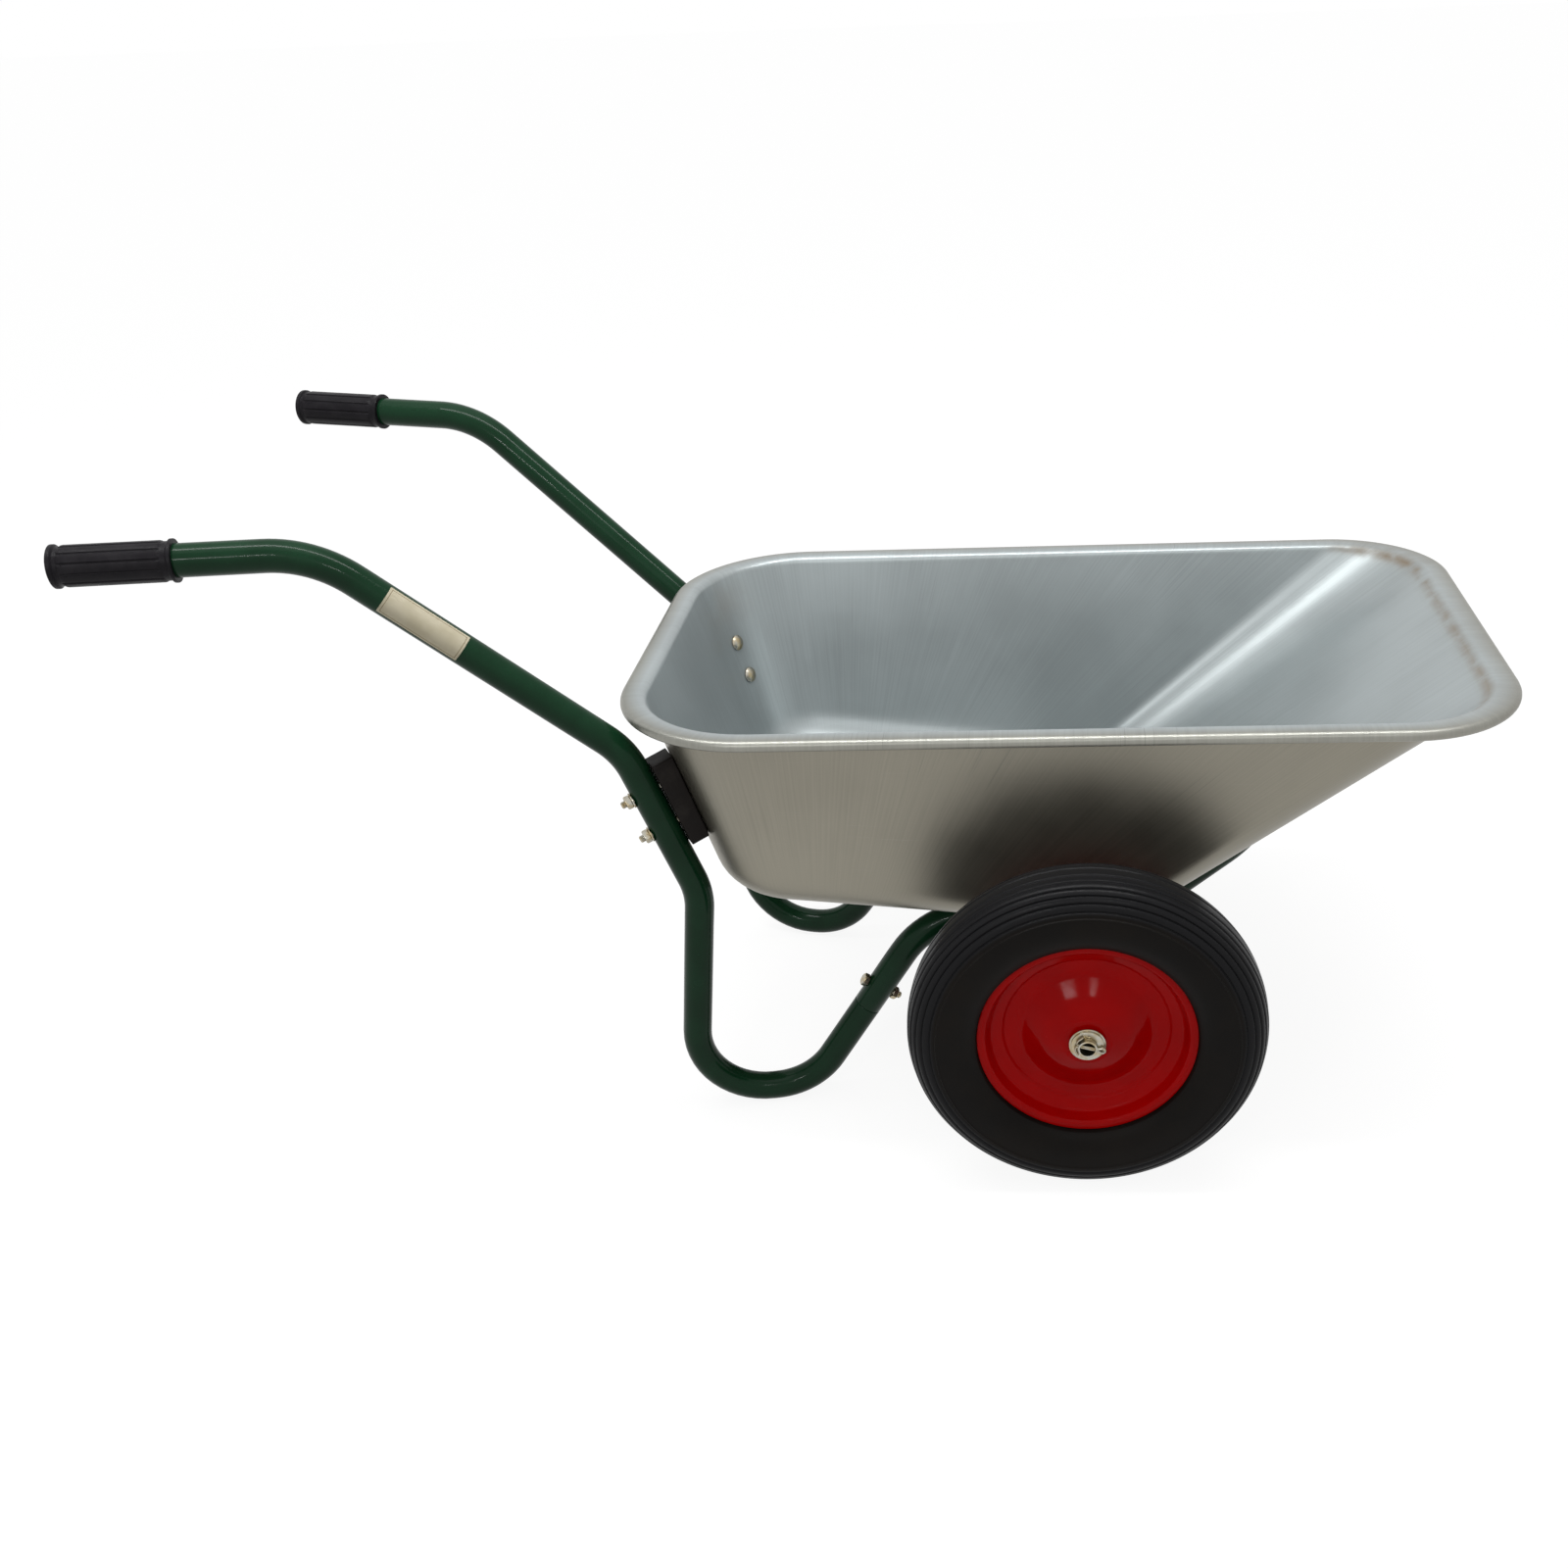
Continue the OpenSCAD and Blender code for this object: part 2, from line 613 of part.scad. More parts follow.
// Tray
module tray_sheet() {
    sections = [for (st = stations) tray_section(st)];
    n = len(sections);
    m = len(sections[0]);
    polyhedron(
        points = [for (s = sections) each s],
        faces = concat(
            [[for (i = [n - 1:-1:0]) i * m]],
            [[for (i = [0:n - 1]) i * m + m - 1]],
            [
                for (i = [0:n - 1], k = [0:m - 2])
                    let (a = i * m + k, b = ((i + 1) % n) * m + k)
                    each [[a, b, b + 1], [a, b + 1, a + 1]]
            ]
        )
    );
}
module dish() {
    rotate_extrude() polygon([
        [bolt_hole_r, dish_depth], [dish_flat_r, dish_depth],
        [dish_r + lap, sheet_t / 4], [dish_r + lap, sheet_t * 3 / 4],
        [dish_flat_r, dish_depth + sheet_t], [bolt_hole_r, dish_depth + sheet_t]
    ]);
}
module at_tray_bolts() {
    on_both_sides() for (b = tray_bolt_places) pointed(b[0], b[1]) children();
}
module at_block_bolts() {
    on_both_sides() for (p = block_places) {
        framed(block_bolt_axis(p), block_across, block_along, block_through) {
            $tray_at = to_tray(p);
            children();
        }
    }
}
module tray() {
    color("lightgray") placed() {
        difference() {
            tray_sheet();
            at_tray_bolts() translate([0, 0, -overrun]) cylinder(r = dish_r, h = 2 * overrun);
            at_block_bolts() hole($tray_at - overrun / 2, $tray_at + overrun / 2);
        }
        at_tray_bolts() dish();
    }
}

// Frame tubes: the leg's end is drawn in to a spigot that slides into the hoop
swage_l = 6;
module spigot() {
    shoulder_l = 1.5;
    spigot_r = tube_in_r - seat_gap / 2;
    pointed(seam, seam_along) rotate_extrude() polygon([
        [tube_in_r + bend_thin, -swage_l - run_lap], [tube_r - bend_thin, -swage_l - run_lap],
        [tube_r - bend_thin, -shoulder_l], [spigot_r, 0],
        [spigot_r, spigot_l], [spigot_r - tube_wall, spigot_l], [spigot_r - tube_wall, 0],
        [tube_in_r + bend_thin, -swage_l]
    ]);
}
module handle_tube() {
    color("darkgreen") difference() {
        union() {
            bent_tube(
                [for (i = [0:last(handle_path)])
                    i < last(handle_path) ? handle_path[i] : seam - seam_along * swage_l],
                handle_bends
            );
            spigot();
        }
        for (p = block_places)
            framed(block_bolt_axis(p), block_across, block_along, block_through) hole(-overrun, overrun);
        pointed(splice_point, splice_across) hole(-overrun, overrun);
    }
}
module handle_tube_left() {
    placed() handle_tube();
}
module handle_tube_right() {
    placed() mirror([0, 1, 0]) handle_tube();
}
module front_hoop() {
    color("darkgreen") placed() difference() {
        bent_tube(hoop_path, hoop_bends);
        on_both_sides() pointed(splice_point, splice_across) hole(-overrun, overrun);
        at_tray_bolts() hole(0, rail_offset + tube_r + overrun);
        at_bracket_bolts() hole(-overrun, overrun);
    }
}

// Grips and label
module grip() {
    color("black") pointed(grip_tip, -handle_out) difference() {
        union() {
            rotate_extrude() polygon(grip_outline);
            for (i = [0:grip_ribs - 1])
                rotate(i * 4 * quarter / grip_ribs)
                    translate([grip_d / 2 + grip_rib_rise - grip_rib_r, 0, grip_plain_l])
                        cylinder(r = grip_rib_r, h = grip_l - 2 * grip_plain_l);
        }
        translate([0, 0, grip_cap_t]) cylinder(r = grip_bore_r, h = grip_l);
    }
}
module grip_left() {
    placed() grip();
}
module grip_right() {
    placed() mirror([0, 1, 0]) grip();
}
module handle_label() {
    label_t = 0.3;
    label_tip = 22;
    slope = from_plane(unit(block_bend - handle_bend));
    outer = plane_side;
    upper = cross(slope, outer);
    color("wheat") placed() mirror([0, 1, 0])
        framed(in_plane(handle_bend) + slope * (label_run - label_l / 2), outer, upper, slope)
            rotate(label_tip - label_wrap / 2)
                rotate_extrude(angle = label_wrap)
                    translate([tube_r + running_gap, 0]) square([label_t, label_l]);
}

// Spacer blocks and the bolts through them
module spacer_block() {
    color("#2a1d1a") difference() {
        framed(block_middle, block_across, block_along, block_through)
            translate([-block_w / 2, -block_l / 2, tube_r + seat_gap])
                cube([block_w, block_l, block_t + overrun]);
        pointed(seat_foot + seat_out * (sheet_t + seat_gap), -seat_out)
            translate([-mouth_l, -mouth_l, 0]) cube([2 * mouth_l, 2 * mouth_l, mouth_l]);
        for (p = block_places)
            framed(block_bolt_axis(p), block_across, block_along, block_through)
                hole(0, block_depth + overrun);
    }
}
module spacer_block_left() {
    placed() spacer_block();
}
module spacer_block_right() {
    placed() mirror([0, 1, 0]) spacer_block();
}
nut_seat = tube_r + seat_gap + washer_t;
module back_bolts() {
    color("silver") placed() at_block_bolts() {
        shank(-nut_seat - hex_h - thread_over, $tray_at + head_lift);
        translate([0, 0, $tray_at + head_lift]) mirror([0, 0, 1]) dome();
    }
}
module back_washers() {
    color("silver") placed() at_block_bolts() translate([0, 0, -nut_seat])
        disc_ring(washer_d / 2, bolt_hole_r, washer_t);
}
module back_nuts() {
    color("khaki") placed() at_block_bolts() translate([0, 0, -nut_seat - hex_h]) hex_nut();
}

// Splice fasteners
splice_seat = tube_r + seat_gap;
module splice_bolts() {
    color("silver") placed() on_both_sides() pointed(splice_point, splice_across) {
        shank(-splice_seat - hex_h - thread_over, splice_seat + hex_h / 2);
        translate([0, 0, splice_seat]) hex_head();
    }
}
module splice_nuts() {
    color("khaki") placed() on_both_sides() pointed(splice_point, splice_across)
        translate([0, 0, -splice_seat - hex_h]) hex_nut();
}

// Tray fasteners on the rails
tray_nut_seat = rail_offset + tube_r + seat_gap;
module tray_bolts() {
    color("silver") placed() at_tray_bolts() {
        shank(dish_depth - seat_gap, tray_nut_seat + washer_t + hex_h + thread_over);
        translate([0, 0, dish_depth - seat_gap]) dome();
    }
}
module tray_washers() {
    color("silver") placed() at_tray_bolts() translate([0, 0, tray_nut_seat])
        disc_ring(washer_d / 2, bolt_hole_r, washer_t);
}
module tray_nuts() {
    color("khaki") placed() at_tray_bolts() translate([0, 0, tray_nut_seat + washer_t]) hex_nut();
}

// Axle, brackets and what is threaded on the axle
module along_axle() {
    placed() translate([0, 0, wheel_r]) rotate([-quarter, 0, 0]) children();
}
module axle() {
    color("silver") along_axle() difference() {
        translate([0, 0, -axle_half]) disc_ring(axle_r, axle_r - axle_wall, 2 * axle_half);
        for (s = [-1, 1]) translate([0, 0, s * pin_y]) rotate([0, quarter, -pin_turn * s])
            translate([0, 0, -overrun]) cylinder(d = pin_d + seat_gap, h = 2 * overrun);
    }
}
// On the left rail above the axle, with Y square to the rail
module on_rail() {
    translate([0, rail_point(0).y, 0]) rotate(-rail_toe) children();
}
module axle_bracket() {
    foot_r = axle_d;
    ear_r = hex_w;
    color("darkgreen") difference() {
        on_rail() {
            for (y = [-bracket_half, bracket_half - bracket_t])
                translate([0, y + bracket_t, 0]) rotate([quarter, 0, 0]) linear_extrude(bracket_t) hull() {
                    translate([0, wheel_r]) circle(foot_r);
                    for (b = bracket_places) translate(b) circle(ear_r);
                }
            translate([-foot_r / 2, -bracket_half, wheel_r - foot_r])
                cube([foot_r, 2 * bracket_half, bracket_t]);
        }
        translate([0, 0, wheel_r]) rotate([-quarter, 0, 0])
            cylinder(r = axle_r + running_gap, h = axle_half);
        on_rail() for (b = bracket_places)
            pointed([b.x, 0, b.y], [0, 1, 0]) hole(-bracket_half - overrun, bracket_half + overrun);
    }
}
module axle_bracket_left() {
    placed() axle_bracket();
}
module axle_bracket_right() {
    placed() mirror([0, 1, 0]) axle_bracket();
}
module at_bracket_bolts() {
    on_both_sides() on_rail() for (b = bracket_places) pointed([b.x, 0, b.y], [0, 1, 0]) children();
}
bracket_seat = bracket_half + seat_gap;
module bracket_bolts() {
    color("silver") placed() at_bracket_bolts() {
        shank(-bracket_seat - hex_h - thread_over, bracket_seat + hex_h / 2);
        translate([0, 0, bracket_seat]) hex_head();
    }
}
module bracket_nuts() {
    color("khaki") placed() at_bracket_bolts() translate([0, 0, -bracket_seat - hex_h]) hex_nut();
}
module axle_ring(side, r_out, from, to) {
    placed() translate([0, side * from, wheel_r]) rotate([-quarter * side, 0, 0])
        disc_ring(r_out, axle_r + running_gap, to - from);
}
module axle_spacer_left() {
    color("gray") axle_ring(1, spacer_d / 2, spacer_y, inner_washer_y);
}
module axle_spacer_right() {
    color("gray") axle_ring(-1, spacer_d / 2, spacer_y, inner_washer_y);
}
module inner_axle_washers() {
    color("silver") for (s = [-1, 1])
        axle_ring(s, wide_washer_d / 2, inner_washer_y, inner_washer_y + axle_washer_t);
}
module wide_axle_washers() {
    color("silver") for (s = [-1, 1])
        axle_ring(s, wide_washer_d / 2, wide_washer_y, wide_washer_y + axle_washer_t);
}
module narrow_axle_washers() {
    color("silver") for (s = [-1, 1])
        axle_ring(s, narrow_washer_d / 2, narrow_washer_y, narrow_washer_y + axle_washer_t);
}
module split_pin() {
    leg_share = 0.6;
    eye_share = 0.8;
    leg_spread = 24;
    half_l = axle_r + pin_d;
    translate([0, 0, -half_l]) cylinder(d = pin_d, h = 2 * half_l);
    translate([0, 0, -half_l - pin_d]) rotate([quarter, 0, 0])
        rotate_extrude() translate([pin_d, 0]) circle(d = pin_d * eye_share);
    for (a = [-leg_spread, leg_spread])
        translate([0, 0, half_l - pin_d]) rotate([0, a, 0]) cylinder(d = pin_d * leg_share, h = axle_r);
}
module split_pins() {
    color("khaki") along_axle() for (s = [-1, 1])
        translate([0, 0, s * pin_y]) rotate([0, quarter, -pin_turn * s]) rotate(quarter) split_pin();
}

// Wheel pieces, built with the outboard side along +Z
module tyre(side) {
    color("#1b1b1b") on_wheel(side) rotate_extrude() polygon(tyre_outline);
}
module inner_tube(side) {
    color("dimgray") on_wheel(side) rotate_extrude() difference() {
        polygon(ring_outline(tube_inset));
        polygon(ring_outline(tube_inset + inner_tube_wall));
    }
}
module rim_half() {
    rotate_extrude() polygon(thickened(rim_face, rim_t));
}
module rim_outer(side) {
    color("firebrick") on_wheel(side) rim_half();
}
module rim_inner(side) {
    color("firebrick") on_wheel(side) difference() {
        mirror([0, 0, 1]) rim_half();
        translate([seat_r - valve_l, 0, valve_y]) rotate([0, quarter, 0])
            cylinder(d = valve_d + 2 * hole_gap, h = valve_l + overrun);
    }
}
module hub_tube(side) {
    color("firebrick") on_wheel(side) translate([0, 0, -hub_l / 2])
        disc_ring(hub_d / 2, bush_d / 2 + running_gap, hub_l);
}
module hub_bushes(side) {
    color("ivory") on_wheel(side) for (m = [0, 1]) mirror([0, 0, m]) {
        translate([0, 0, hub_l / 2 - bush_l]) disc_ring(bush_d / 2, axle_r + running_gap, bush_l);
        translate([0, 0, hub_l / 2]) disc_ring(hub_d / 2, axle_r + running_gap, bush_flange_t);
    }
}
module valve(side) {
    cap_l = 10;
    cap_rise = 0.8;
    color("dimgray") on_wheel(side) translate([0, 0, valve_y]) rotate([0, quarter, 0]) {
        translate([0, 0, seat_r - valve_l]) cylinder(d = valve_d, h = valve_top_r - seat_r + valve_l);
        translate([0, 0, seat_r - valve_l]) cylinder(r = valve_d / 2 + cap_rise, h = cap_l);
    }
}
module tyre_left() { tyre(1); }
module tyre_right() { tyre(-1); }
module inner_tube_left() { inner_tube(1); }
module inner_tube_right() { inner_tube(-1); }
module rim_outer_left() { rim_outer(1); }
module rim_outer_right() { rim_outer(-1); }
module rim_inner_left() { rim_inner(1); }
module rim_inner_right() { rim_inner(-1); }
module hub_tube_left() { hub_tube(1); }
module hub_tube_right() { hub_tube(-1); }
module hub_bushes_left() { hub_bushes(1); }
module hub_bushes_right() { hub_bushes(-1); }
module valve_left() { valve(1); }
module valve_right() { valve(-1); }

tray();
handle_tube_left();
handle_tube_right();
front_hoop();
grip_left();
grip_right();
spacer_block_left();
spacer_block_right();
back_bolts();
back_washers();
back_nuts();
splice_bolts();
splice_nuts();
tray_bolts();
tray_washers();
tray_nuts();
axle();
axle_bracket_left();
axle_bracket_right();
bracket_bolts();
bracket_nuts();
axle_spacer_left();
axle_spacer_right();
inner_axle_washers();
wide_axle_washers();
narrow_axle_washers();
split_pins();
handle_label();
tyre_left();
inner_tube_left();
rim_outer_left();
rim_inner_left();
hub_tube_left();
hub_bushes_left();
valve_left();
tyre_right();
inner_tube_right();
rim_outer_right();
rim_inner_right();
hub_tube_right();
hub_bushes_right();
valve_right();
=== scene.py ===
"""Looks of a two-wheel wheelbarrow, built around its packed construction.

Lengths are metres in the construction's own frame: +X forward to the tray's nose, +Y to the user's left,
+Z up, with the ground at Z = 0.
"""
import json
import logging
from collections.abc import Callable
from dataclasses import dataclass
from enum import Enum

import bpy
import numpy as np
from mathutils import Matrix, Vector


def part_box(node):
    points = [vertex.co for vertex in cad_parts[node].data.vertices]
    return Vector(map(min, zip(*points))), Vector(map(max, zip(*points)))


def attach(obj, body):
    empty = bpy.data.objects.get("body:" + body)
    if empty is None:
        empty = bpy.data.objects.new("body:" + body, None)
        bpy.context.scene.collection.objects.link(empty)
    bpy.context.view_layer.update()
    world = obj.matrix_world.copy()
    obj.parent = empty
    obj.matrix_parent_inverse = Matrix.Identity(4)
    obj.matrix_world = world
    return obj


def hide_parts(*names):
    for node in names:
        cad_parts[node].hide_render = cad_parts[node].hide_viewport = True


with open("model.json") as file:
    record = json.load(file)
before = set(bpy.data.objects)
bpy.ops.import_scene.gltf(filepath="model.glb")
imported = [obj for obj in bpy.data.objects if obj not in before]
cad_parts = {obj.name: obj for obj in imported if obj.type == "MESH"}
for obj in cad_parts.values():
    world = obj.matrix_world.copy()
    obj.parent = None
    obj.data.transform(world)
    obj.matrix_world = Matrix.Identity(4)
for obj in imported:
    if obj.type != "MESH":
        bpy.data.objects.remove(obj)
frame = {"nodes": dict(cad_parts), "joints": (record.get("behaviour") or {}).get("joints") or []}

Array = np.ndarray
Socket = bpy.types.NodeSocket
Colour = tuple[float, float, float]
Triple = tuple[float, float, float]

log = logging.getLogger("wheelbarrow")
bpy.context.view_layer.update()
FLOW = "flow"
AHEAD, ACROSS, UP = np.eye(3)
BOX_CORNERS = np.array([[1, 1], [-1, 1], [-1, -1], [1, -1]])
TURN = 2 * np.pi
NEAR_ACROSS = 0.7
NEAR_UPRIGHT = 0.9


class Side(Enum):
    """The barrow's two sides, by the sign of their Y."""

    LEFT = 1
    RIGHT = -1

    @property
    def word(self) -> str:
        """The side's name as the construction writes it."""
        return self.name.lower()


class Slot(Enum):
    """The record's material slots."""

    SHEET = "galvanised_sheet"
    GREEN = "green_paint"
    RED = "red_paint"
    TYRE = "tyre_rubber"
    TUBE = "tube_rubber"
    VALVE = "valve_rubber"
    GRIP = "grip_plastic"
    BLOCK = "block_plastic"
    BUSH = "bush_plastic"
    ZINC = "zinc_plate"
    LABEL = "label_film"


# Vector and surface arithmetic

def unit(v: Array) -> Array:
    """Vectors along the last axis, each divided by its length."""
    return v / np.linalg.norm(v, axis=-1, keepdims=True)


def dot(a: Array, b: Array) -> Array:
    """Dot products along the last axis, which is kept."""
    return np.sum(a * b, axis=-1, keepdims=True)


def eased(t: Array) -> Array:
    """A smooth step: 0 below 0, 1 above 1, and 3t^2 - 2t^3 between them."""
    t = np.clip(t, 0.0, 1.0)
    return t * t * (3 - 2 * t)


def mirrored(points: Array, side: Side) -> Array:
    """Points built on the left, moved to the given side by the sign of Y."""
    return points * np.array([1.0, side.value, 1.0])


def axes_about(axis: Array) -> tuple[Array, Array]:
    """Two directions square to an axis and to each other.

    Args:
        axis: The unit axis.

    Returns:
        The two unit directions.
    """
    helper = ACROSS if abs(axis[1]) < NEAR_ACROSS else AHEAD
    first = unit(np.cross(helper, axis))
    return first, np.cross(axis, first)


def rounded_path(corners: Array, radii: Array, steps: int = 14) -> tuple[Array, Array]:
    """A line of straight runs joined by arcs.

    At each inner corner the arc of the given radius is tangent to both runs, so it starts at a distance of
    r * tan(turn / 2) from the corner, and its points are the middle plus r times the turned start direction.

    Args:
        corners: Corner points, (n, 3).
        radii: Bend radius at each corner, zero at the two ends.
        steps: Number of steps in each arc.

    Returns:
        The points and the unit directions along the line.
    """
    along = unit(np.diff(corners, axis=0))
    points = [corners[:1]]
    tangents = [along[:1]]
    share = np.linspace(0.0, 1.0, steps + 1)[:, None]
    for corner, radius, before, after in zip(corners[1:-1], radii[1:-1], along[:-1], along[1:]):
        turn = np.arccos(np.clip(before @ after, -1.0, 1.0))
        inward = unit(after - before)
        middle = corner + inward * radius / np.cos(turn / 2)
        start = unit(corner - before * radius * np.tan(turn / 2) - middle)
        angle = turn * share
        points.append(middle + radius * (np.cos(angle) * start + np.sin(angle) * before))
        tangents.append(np.cos(angle) * before - np.sin(angle) * start)
    points.append(corners[-1:])
    tangents.append(along[-1:])
    return np.concatenate(points), np.concatenate(tangents)


def ring_about(axis: Array, sides: int) -> tuple[Array, Array]:
    """Even steps around an axis.

    Args:
        axis: The unit axis.
        sides: Number of steps.

    Returns:
        The angles, (sides,), and the unit directions at them, (sides, 3).
    """
    first, second = axes_about(axis)
    angle = np.arange(sides) * TURN / sides
    return angle, np.cos(angle)[:, None] * first + np.sin(angle)[:, None] * second


def spun(radius: Array, run: Array, ring: Array, origin: Array, axis: Array) -> Array:
    """A surface about an axis: origin + radius * ring + run * axis.

    Args:
        radius: Distances from the axis, (sides, m), or (1, m) where they are the same all round.
        run: Distances along the axis, (m,).
        ring: Unit directions around the axis, (sides, 3).
        origin: A point on the axis.
        axis: The unit axis.

    Returns:
        The grid of points, (sides, m, 3).
    """
    return origin + radius[..., None] * ring[:, None, :] + run[None, :, None] * axis


def lathe(profile: Array, origin: Array, axis: Array, sides: int) -> Array:
    """A profile turned about an axis.

    Args:
        profile: Distances from the axis and along it, (m, 2).
        origin: A point on the axis.
        axis: The unit axis.
        sides: Number of steps around.

    Returns:
        The grid of points, (sides, m, 3).
    """
    return spun(profile[None, :, 0], profile[:, 1], ring_about(axis, sides)[1], origin, axis)


def eased_ring(inner: float, outer: float, half: float, edge: float) -> Array:
    """The closed profile of a ring from -half to half along its axis, with every edge cut back alike."""
    return np.array([[inner + edge, -half], [outer - edge, -half], [outer, edge - half], [outer, half - edge],
                     [outer - edge, half], [inner + edge, half], [inner, half - edge], [inner, edge - half]])


def bell(offset: Array, width: Triple | float) -> Array:
    """A bell of the distance from a place: exp of minus the sum of (offset / width)^2 over the last axis."""
    return np.exp(-np.sum((offset / width) ** 2, axis=-1))


def carried(section: Array, points: Array, tangents: Array, reference: Array, size: Array) -> Array:
    """A flat section carried along a line: point + size (x N + y B), with N the reference made square to it.

    Args:
        section: Outline of the section, (k, 2).
        points: Points of the line, (m, 3).
        tangents: Unit directions of the line, (m, 3).
        reference: A direction that is never along the line.
        size: Scale of the section at each point, (m,).

    Returns:
        The grid of points, (k, m, 3).
    """
    normal = unit(reference - dot(tangents, reference) * tangents)
    other = np.cross(tangents, normal)
    spread = section[:, None, :1] * normal + section[:, None, 1:] * other
    return points + size[None, :, None] * spread


def circle(sides: int) -> Array:
    """Points of the unit circle, (sides, 2)."""
    angle = np.arange(sides) * TURN / sides
    return np.stack([np.cos(angle), np.sin(angle)], axis=1)


def flat_path(corners: list[tuple[float, float]], radii: tuple[float, ...], steps: int = 8) -> Array:
    """The points of a rounded line in a plane, (m, 2)."""
    lifted = np.pad(np.array(corners), ((0, 0), (0, 1)))
    return rounded_path(lifted, np.array(radii), steps)[0][:, :2]


def thickened(line: Array, depth: float) -> Array:
    """A closed outline of even thickness: a line, and the same line moved along its normals, reversed.

    Args:
        line: Points of the visible side, (m, 2).
        depth: Thickness to the left of the line.

    Returns:
        The closed outline, (2m, 2).
    """
    tangent = unit(np.gradient(line, axis=0))
    normal = np.stack([-tangent[:, 1], tangent[:, 0]], axis=1)
    return np.concatenate([line, (line + normal * depth)[::-1]])


# Meshes

@dataclass
class Patch:
    """A closed stretch of surface: points, quads, the rings that one face closes, and pattern coordinates."""

    points: Array
    quads: Array
    caps: list[Array]
    flow: Array

    def outward(self) -> "Patch":
        """The patch with its faces turned outwards, by the sign of the volume that they enclose."""
        a, b, c, d = self.points[self.quads].transpose(1, 0, 2)
        volume = np.sum(a * np.cross(b, c)) + np.sum(a * np.cross(c, d))
        for cap in self.caps:
            ring = self.points[cap]
            volume += np.sum(ring[0] * np.cross(ring[1:-1], ring[2:]))
        if volume >= 0:
            return self
        caps = [cap[::-1] for cap in self.caps]
        return Patch(self.points, self.quads[:, ::-1], caps, self.flow[:, ::-1])

    def moved(self, side: Side) -> "Patch":
        """The patch, built on the left, moved to the given side with its faces outwards."""
        return Patch(mirrored(self.points, side), self.quads, self.caps, self.flow).outward()


def grid_patch(grid: Array, closed: bool = False, flow: tuple[Array, Array] | None = None) -> Patch:
    """A patch from a grid that always closes around its first axis.

    Args:
        grid: Points, (around, along, 3).
        closed: True if the grid closes along its second axis too. Otherwise a face closes each end.
        flow: Pattern coordinates around, with the closing value at the end, and along.

    Returns:
        The patch, with its faces outwards.
    """
    n, m = grid.shape[:2]
    i = np.arange(n)[:, None]
    j = np.arange(m if closed else m - 1)[None, :]
    i_next, j_next = (i + 1) % n, (j + 1) % m
    quads = np.stack([i * m + j, i_next * m + j, i_next * m + j_next, i * m + j_next], axis=-1)
    around, along = flow or (np.linspace(0.0, 1.0, n + 1), np.linspace(0.0, 1.0, m + 1))
    j_end = np.minimum(j + 1, len(along) - 1)
    u0, u1, v0, v1 = np.broadcast_arrays(around[i], around[i + 1], along[j], along[j_end])
    corners = np.stack([u0, v0, u1, v0, u1, v1, u0, v1], axis=-1).reshape(-1, 4, 2)
    ends = [] if closed else [np.arange(n)[::-1] * m, np.arange(n) * m + m - 1]
    return Patch(grid.reshape(-1, 3), quads.reshape(-1, 4), ends, corners).outward()


def linked(name: str, data: bpy.types.ID) -> bpy.types.Object:
    """Puts a mesh, a lamp or a camera into the scene.

    Args:
        name: Name of the new object.
        data: What it shows.

    Returns:
        The new object.
    """
    obj = bpy.data.objects.new(name, data)
    bpy.context.scene.collection.objects.link(obj)
    return obj


@dataclass(frozen=True)
class Piece:
    """What a finished piece is called, what it rides on and what it stands for."""

    name: str
    slot: Slot
    body: str
    replaces: tuple[str, ...]
    crease_deg: float = 38.0

    def make(self, patches: list[Patch], finish: "Finish", marks: dict[str, Array] | None = None) -> None:
        """Joins patches into one mesh object and hands it to the frame.

        Args:
            patches: The closed surfaces of the piece.
            finish: The finish that covers it.
            marks: Values for each point that the finish reads by name.
        """
        starts = np.cumsum([0] + [len(p.points) for p in patches])
        points = np.concatenate([p.points for p in patches])
        faces = [quad for p, s in zip(patches, starts) for quad in (p.quads + s).tolist()]
        faces += [(cap + s).tolist() for p, s in zip(patches, starts) for cap in p.caps]
        mesh = bpy.data.meshes.new(self.name)
        mesh.from_pydata(points.tolist(), [], faces)
        flow = np.zeros((len(mesh.loops), 2))
        quad_flow = np.concatenate([p.flow.reshape(-1, 2) for p in patches])
        flow[:len(quad_flow)] = quad_flow
        mesh.uv_layers.new(name=FLOW).data.foreach_set("uv", flow.ravel())
        for name, values in (marks or {}).items():
            mesh.attributes.new(name, "FLOAT", "POINT").data.foreach_set("value", values.ravel())
        mesh.polygons.foreach_set("use_smooth", np.ones(len(mesh.polygons), bool))
        mesh.set_sharp_from_angle(angle=np.radians(self.crease_deg))
        mesh.materials.append(finish.material())
        obj = linked(self.name, mesh)
        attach(obj, self.body)
        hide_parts(*self.replaces)
        log.info("%s: %d faces, rides on %s", self.name, len(faces), self.body)


def frame_piece(name: str, slot: Slot, node: str) -> Piece:
    """A piece that rides on the frame and stands for one node."""
    return Piece(name, slot, "frame", (node,))


# Places taken from the construction

